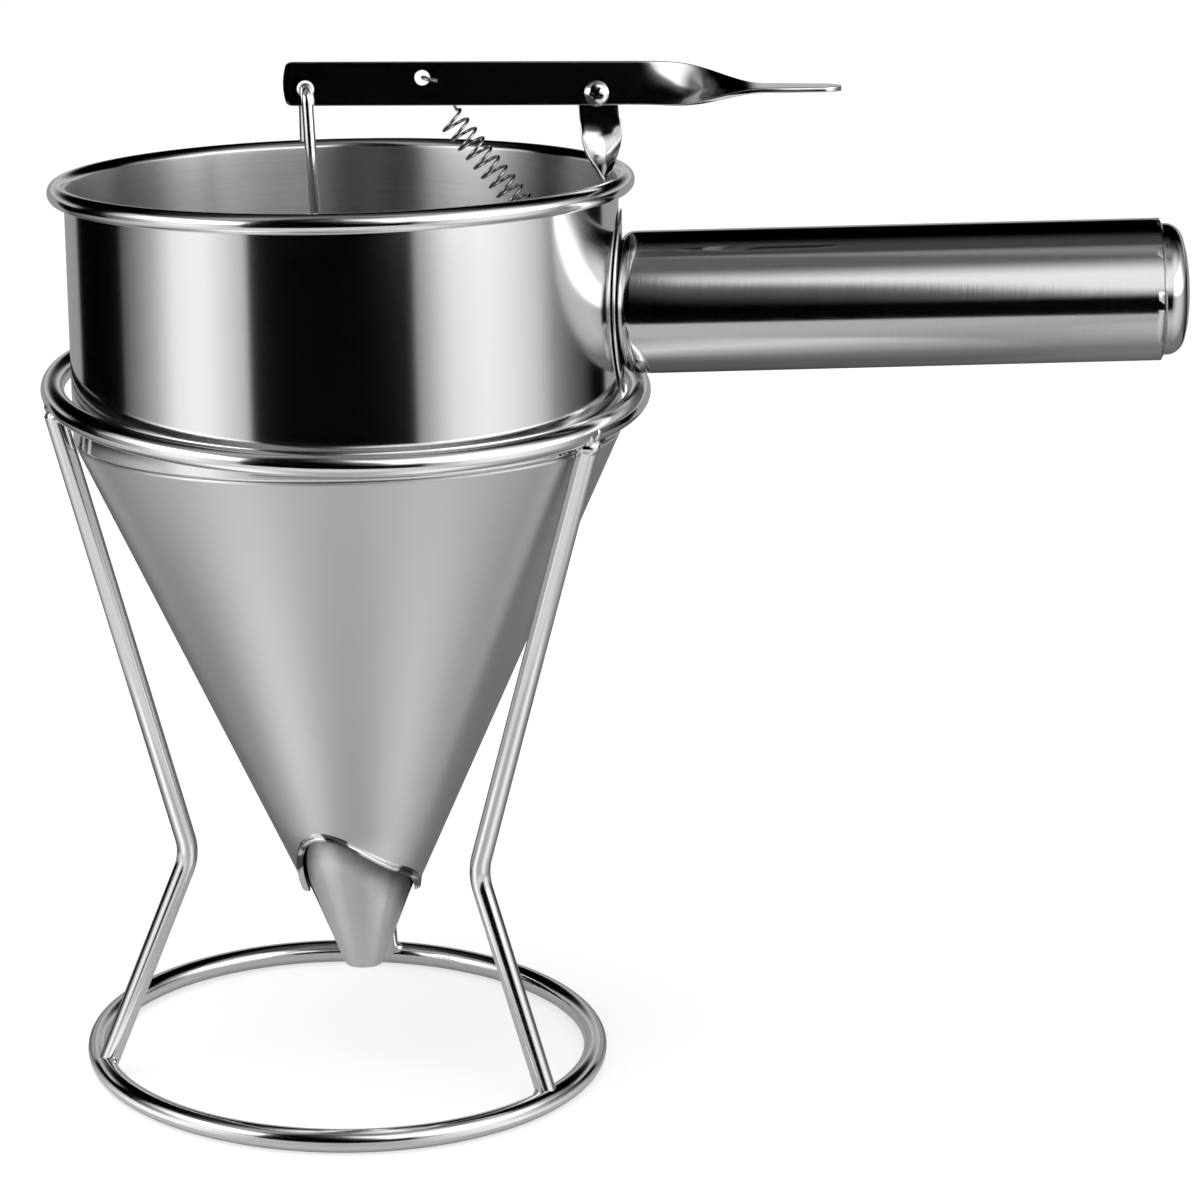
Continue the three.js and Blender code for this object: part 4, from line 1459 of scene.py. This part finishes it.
class DISPENSER_OT_fasteners(Making):
    """Builds the cross-head screw, the washer and the nut of the pivot"""

    bl_idname = "dispenser.fasteners"
    bl_label = "Pivot fasteners"

    def build(self, stand, funnel):
        self.screw()
        self.washer()
        self.nut()

    def screw(self):
        """The screw, its head domed and cut by two crossed slots."""
        tail = NUT_Y + NUT_HEIGHT + BOLT_SPARE - HEAD_Y
        turns = [math.pi / 2 * i / 10 for i in range(1, 11)]
        outline = [
            (0, -HEAD_RIM - HEAD_DOME),
            *[(HEAD_RADIUS * math.sin(t), -HEAD_RIM - HEAD_DOME * math.cos(t)) for t in turns],
            (HEAD_RADIUS, 0),
            (BOLT_RADIUS, 0),
            (BOLT_RADIUS, tail - BOLT_CHAMFER),
            (BOLT_RADIUS - 0.3, tail),
            (0, tail),
        ]
        shape = lathe(outline, 48, closed=False)
        bmesh.ops.recalc_face_normals(shape, faces=shape.faces)
        piece = linked("screw", freed("pivot_screw_skin", shape))
        cutters = []
        for turn in CROSS_TURNS:
            slot = bmesh.new()
            bmesh.ops.create_cube(slot, size=1)
            bmesh.ops.scale(slot, vec=CROSS_SLOT, verts=slot.verts)
            place = Matrix.Translation((0, 0, CROSS_PLACE)) @ Matrix.Rotation(math.radians(turn), 4, "Z")
            cutters.append(cut_by(piece, slot, place))
        mesh = plain(piece, cutters)
        mesh.transform(self.place(HEAD_Y))
        self.fitted("pivot_screw", shaded(mesh, 38))

    def washer(self):
        """The washer between the lever and the post."""
        half = WASHER_SHEET / 2
        corners = ((WASHER_RADIUS, -half), (WASHER_RADIUS, half), (PIVOT_HOLE, half), (PIVOT_HOLE, -half))
        outline = rounded([(r, z, WASHER_EDGE) for r, z in corners], 3)
        self.fitted("pivot_washer", mesh_from("pivot_washer_skin", lathe(outline, 48), self.place(WASHER_Y)))

    def nut(self):
        """The six-sided nut, its corners chamfered."""
        shape = bmesh.new()

        def ring(radius, z, corners):
            turns = [2 * math.pi * i / corners for i in range(corners)]
            return [shape.verts.new((radius * math.cos(t), radius * math.sin(t), z)) for t in turns]

        corner = NUT_ACROSS / 2 / math.cos(math.pi / 6)
        edge = corner * NUT_CHAMFER_SHARE
        rings = [ring(edge, 0, 6), ring(corner, NUT_CHAMFER, 6)]
        rings += [ring(corner, NUT_HEIGHT - NUT_CHAMFER, 6), ring(edge, NUT_HEIGHT, 6)]
        top, foot = ring(PIVOT_HOLE, NUT_HEIGHT, 24), ring(PIVOT_HOLE, 0, 24)
        for low, high in zip(rings, rings[1:]):
            joined(shape, low, high)
        for outer, inner in ((rings[-1], top), (rings[0], foot)):
            for i in range(6):
                fan = [inner[(4 * i + k) % 24] for k in range(5)]
                shape.faces.new([outer[i], outer[(i + 1) % 6], *reversed(fan)])
        joined(shape, top, foot)
        self.fitted("pivot_nut", mesh_from("pivot_nut_skin", shape, self.place(NUT_Y), 20))

    def place(self, y):
        """The pivot's line, from a place on it towards the back."""
        return FUNNEL @ Matrix.Translation((PIVOT.x, y, PIVOT.z)) @ ALONG_Y

    def fitted(self, node, mesh):
        dressed(f"{node}_skin", mesh, ["bright_wire"], "funnel", [node])


class DISPENSER_OT_lever(Making):
    """Builds the thumb lever: a strap on edge that twists into a flat pad"""

    bl_idname = "dispenser.lever"
    bl_label = "Lever"

    def build(self, stand, funnel):
        whole = LEVER_BACK + LEVER_FRONT
        steps = 220
        places = [-LEVER_BACK + whole * i / steps for i in range(steps + 1)]
        places[1:1] = [-LEVER_BACK + e for e in (0.1, 0.3)]
        places[-1:-1] = [LEVER_FRONT - e for e in (0.4, 0.2, 0.05)]
        sections = [lever_section(x) for x in sorted(set(places))]
        holes = [
            (ALONG_Y, PIVOT_HOLE),
            (Matrix.Translation((HOOK_PLACE[0], 0, HOOK_PLACE[1])) @ ALONG_Y, HOOK_HOLE),
            (Matrix.Translation((SPRING_PLACE[0], 0, SPRING_PLACE[1])) @ ALONG_Y, SPRING_HOLE),
        ]
        mesh = drilled(swept("lever_skin", sections), holes)
        mesh.transform(LEVER)
        mesh = weighted(shaded(mesh, 50))
        dressed("lever_skin", mesh, ["polished_strap"], "lever", ["lever"])


class DISPENSER_OT_return_spring(Making):
    """Builds the return spring of fine wire"""

    bl_idname = "dispenser.return_spring"
    bl_label = "Return spring"

    def build(self, stand, funnel):
        wire = funnel.spring_wire
        mesh = wire_mesh("return_spring_wire", spring_path(), FUNNEL, wire, "spring_steel", sides=12)
        piece = linked("return_spring_wire", mesh)
        tab, _ = tab_hole()
        FUNNEL @ tab
        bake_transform(piece)
        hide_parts("return_spring")


class DISPENSER_OT_valve(Making):
    """Builds the hooked rod and the plug on its foot"""

    bl_idname = "dispenser.valve"
    bl_label = "Valve rod and plug"

    def build(self, stand, funnel):
        hole = on_lever(*HOOK_PLACE)
        foot = hole.z - HOOK_BEND
        arch = []
        for y, z in arc(LEVER_Y, foot, HOOK_BEND, 0, 180, 20):
            arch.append(Vector((hole.x + HOOK_OFFSET * (LEVER_Y - y) / HOOK_BEND, y, z)))
        tail = arch[0] - Vector((0, 0, HOOK_TAIL))
        points = [tail, *arch, Vector((0, 0, ROD_END))]
        mesh = wire_mesh("valve_rod_wire", points, FUNNEL, funnel.rod_wire, "bright_wire", sides=24)
        worn("valve_rod_wire", mesh, "valve", ["valve_rod"])
        across = SHEET * ACROSS + PLUG_PLAY
        outline = rounded(
            [
                (0, PLUG_NOSE),
                (PLUG_NOSE_RADIUS, PLUG_NOSE, 0.4),
                (nozzle_radius(PLUG_SEAT) - across, PLUG_SEAT, 0.5),
                (nozzle_radius(PLUG_TOP) - across, PLUG_TOP - GAP, 0.3),
                (nozzle_radius(PLUG_TOP) - across - 1, PLUG_TOP, 0.3),
                (PLUG_BORE, PLUG_TOP, 0.2),
                (PLUG_BORE, PLUG_TOP - PLUG_BORE_DEPTH),
                (0, PLUG_TOP - PLUG_BORE_DEPTH),
            ],
            4,
        )
        mesh = mesh_from("valve_plug_skin", lathe(outline, 64, closed=False), FUNNEL, 40)
        dressed("valve_plug_skin", mesh, ["plug_rubber"], "valve", ["valve_plug"])


class DISPENSER_OT_stage(bpy.types.Operator):
    """Builds the floor, the lights, what the steel mirrors, and the camera"""

    bl_idname = "dispenser.stage"
    bl_label = "Stage"

    def execute(self, context):
        stage = context.scene.dispenser_stage
        self.floor(stage)
        self.tent(stage)
        self.world(context.scene, stage)
        self.lamp(stage)
        self.camera(context.scene)
        context.scene.view_settings.view_transform = "Standard"
        return {"FINISHED"}

    def floor(self, stage):
        """A pale matt floor, a little brighter to the camera so that it ends in white."""
        shape = bmesh.new()
        bmesh.ops.create_circle(shape, cap_ends=True, segments=96, radius=stage.floor_reach)
        mesh = freed("floor", shape)
        material = bpy.data.materials.new("floor")
        material.use_nodes = True
        shading = Shading(material.node_tree)
        grain = shading.noise(shading.place(), 240, 3)
        tone = shading.mix(grain, shade(stage.floor, 0.995), shade(stage.floor, 1.005))
        matt = shading.node("ShaderNodeBsdfDiffuse", {}, {"Color": tone})
        path = shading.node("ShaderNodeLightPath", output="Is Camera Ray")
        mirrored = Value(shading, path.socket.node.outputs["Is Glossy Ray"])
        strength = 0.65 * path + 0.12 * mirrored
        glow = shading.node("ShaderNodeEmission", {}, {"Color": (1, 1, 1, 1), "Strength": strength})
        shading.surface(shading.node("ShaderNodeAddShader", {}, {0: matt, 1: glow}))
        mesh.materials.append(material)
        linked("floor", mesh)

    def tent(self, stage):
        """A tent of soft boxes and dark cloths round the object, which only the steel mirrors."""
        radius = stage.tent_radius / MM
        wall = [(TENT_HOLE, TENT_LIFT), (radius, TENT_LIFT), (radius, TENT_WALL)]
        dome = arc(0, TENT_WALL, radius, 4, 90, 24)[:-1]
        outline = [*wall, *dome, (0, TENT_WALL + radius)]
        mesh = freed("tent", lathe(outline, 96, closed=False))
        mesh.transform(STAND)
        mesh.materials.append(self.tent_light())
        tent = linked("tent", mesh)
        tent.visible_camera = False
        tent.visible_diffuse = False
        tent.visible_shadow = False
        tent.visible_transmission = False
        tent.visible_volume_scatter = False

    def tent_light(self):
        """The tent's light by direction: soft boxes left, right and above the front, dark between."""
        material = bpy.data.materials.new("tent")
        material.use_nodes = True
        material.cycles.emission_sampling = "NONE"
        shading = Shading(material.node_tree)
        where = shading.place(location=[-place for place in TENT_EYE])
        apart = shading.node("ShaderNodeSeparateXYZ", {}, {"Vector": where})
        x = apart
        y = Value(shading, apart.socket.node.outputs["Y"])
        z = Value(shading, apart.socket.node.outputs["Z"])
        degrees = 180 / math.pi
        azimuth = x.maths("ARCTAN2", x, 0 - y) * degrees
        level = (x * x + y * y) ** 0.5
        height = x.maths("ARCTAN2", z, level) * degrees
        step = shading.between

        def by_azimuth(stops):
            """A ramp of levels at azimuths from -180 to 180 degrees."""
            ramp = [((a + 180) / 360, value) for a, value in stops]
            return shading.node("ShaderNodeValToRGB", {"stops": ramp}, {"Fac": (azimuth + 180) / 360})

        sides = by_azimuth(SIDE_LIGHT)
        above_rim = step(height, 0, 5, 1.06, 3.3) * step(height, 22, 36, 1, 0.12)
        below = step(height, -45, -24, 0.45, 1)
        side_light = sides * above_rim * below
        edge_shares = [(a, (edge - EDGE_LOW) / EDGE_SPAN) for a, edge in FRONT_TOP_EDGE]
        edge = by_azimuth(edge_shares) * EDGE_SPAN + EDGE_LOW
        above = height - edge
        top_level = step(height, 38, 66, 1.35, 0.18) * step(azimuth, 60, 110, 1, 0)
        fringe = step(above, -38, 0) * step(height, 0, 8) * 0.15
        front_top = (step(above, -10, 8) * 0.9 + fringe) * top_level
        far_side = azimuth * azimuth
        behind = step(height, -2, 3) * step(height, 6, 16, 1, 0) * step(far_side, 112**2, 122**2) * 0.55
        behind_low = step(height, -24, -22) * step(height, -2, 3, 1, 0)
        behind_low = behind_low * step(far_side, 133**2, 136**2) * 0.34
        overhead = step(height, 55, 75) * 0.09
        near = step(height, -46, -41, 1, 0)
        floor = by_azimuth(NEAR_FLOOR) * near + by_azimuth(FAR_FLOOR) * (1 - near)
        floor_light = step(height, -22.5, -20, 1, 0) * floor
        light = side_light.maths("MAXIMUM", side_light, floor_light)
        for more in (front_top, behind, behind_low, overhead):
            light = light.maths("MAXIMUM", light, more)
        glow = shading.node("ShaderNodeEmission", {}, {"Color": (1, 1, 1, 1), "Strength": light})
        shading.surface(glow)
        return material

    def world(self, scene, stage):
        """White to the camera and the mirrors, and a weaker even light for the rest."""
        world = bpy.data.worlds.new("studio")
        world.use_nodes = True
        shading = Shading(world.node_tree)
        path = shading.node("ShaderNodeLightPath", output="Is Camera Ray")
        glossy = Value(shading, path.socket.node.outputs["Is Glossy Ray"])
        through = Value(shading, path.socket.node.outputs["Is Transmission Ray"])
        seen = path.maths("MAXIMUM", path.maths("MAXIMUM", path, glossy), through)
        strength = seen * (1 - stage.sky) + stage.sky
        back = shading.node("ShaderNodeBackground", {}, {"Color": (1, 1, 1, 1), "Strength": strength})
        shading.surface(back, "ShaderNodeOutputWorld")
        scene.world = world

    def lamp(self, stage):
        """A broad lamp overhead, for the shadow on the floor."""
        light = bpy.data.lights.new("broad_lamp", "AREA")
        light.shape = "SQUARE"
        light.size = LAMP_SIZE
        light.energy = stage.lamp
        lamp = linked("broad_lamp", light)
        lamp.location = LAMP_PLACE
        lamp.rotation_euler = LAMP_TURN
        lamp.visible_glossy = False

    def camera(self, scene):
        """The camera, pitched down and rolled a little, as the photograph was taken."""
        data = bpy.data.cameras.new("camera")
        data.lens = CAMERA_LENS
        data.sensor_width = CAMERA_SENSOR
        camera = linked("camera", data)
        ahead = Vector((0, math.cos(CAMERA_PITCH), -math.sin(CAMERA_PITCH)))
        up = Vector((0, math.sin(CAMERA_PITCH), math.cos(CAMERA_PITCH)))
        across = Vector((1, 0, 0))
        right = across * math.cos(CAMERA_ROLL) + up * math.sin(CAMERA_ROLL)
        upward = up * math.cos(CAMERA_ROLL) - across * math.sin(CAMERA_ROLL)
        turn = Matrix((right, upward, -ahead)).transposed().to_4x4()
        camera.matrix_world = Matrix.Translation(CAMERA_PLACE) @ turn
        scene.camera = camera


class DISPENSER_PT_pieces(bpy.types.Panel):
    """Lists the dispenser's settings and the buttons that build its pieces"""

    bl_idname = "DISPENSER_PT_pieces"
    bl_label = "Batter dispenser"
    bl_space_type = "VIEW_3D"
    bl_region_type = "UI"
    bl_category = "Dispenser"

    def draw(self, context):
        for settings in ("dispenser_stand", "dispenser_funnel", "dispenser_finish", "dispenser_stage"):
            group = getattr(context.scene, settings)
            box = self.layout.box()
            for name in group.bl_rna.properties.keys():
                if name not in ("rna_type", "name"):
                    box.prop(group, name)
        for operator in OPERATORS:
            self.layout.operator(operator.bl_idname)


SETTINGS = {
    "dispenser_stand": StandSettings,
    "dispenser_funnel": FunnelSettings,
    "dispenser_finish": FinishSettings,
    "dispenser_stage": StageSettings,
}
OPERATORS = (
    DISPENSER_OT_stand_rings,
    DISPENSER_OT_stand_legs,
    DISPENSER_OT_weld_beads,
    DISPENSER_OT_funnel_wall,
    DISPENSER_OT_funnel_cone,
    DISPENSER_OT_handle,
    DISPENSER_OT_pivot_post,
    DISPENSER_OT_fasteners,
    DISPENSER_OT_lever,
    DISPENSER_OT_return_spring,
    DISPENSER_OT_valve,
    DISPENSER_OT_stage,
)


def register():
    for made in (*SETTINGS.values(), *OPERATORS, DISPENSER_PT_pieces):
        bpy.utils.register_class(made)
    for name, group in SETTINGS.items():
        setattr(bpy.types.Scene, name, bpy.props.PointerProperty(type=group))


def unregister():
    for name in SETTINGS:
        delattr(bpy.types.Scene, name)
    for made in reversed((*SETTINGS.values(), *OPERATORS, DISPENSER_PT_pieces)):
        bpy.utils.unregister_class(made)


def main():
    register()
    for operator in OPERATORS:
        group, name = operator.bl_idname.split(".")
        getattr(getattr(bpy.ops, group), name)()


if __name__ == "__main__":
    main()
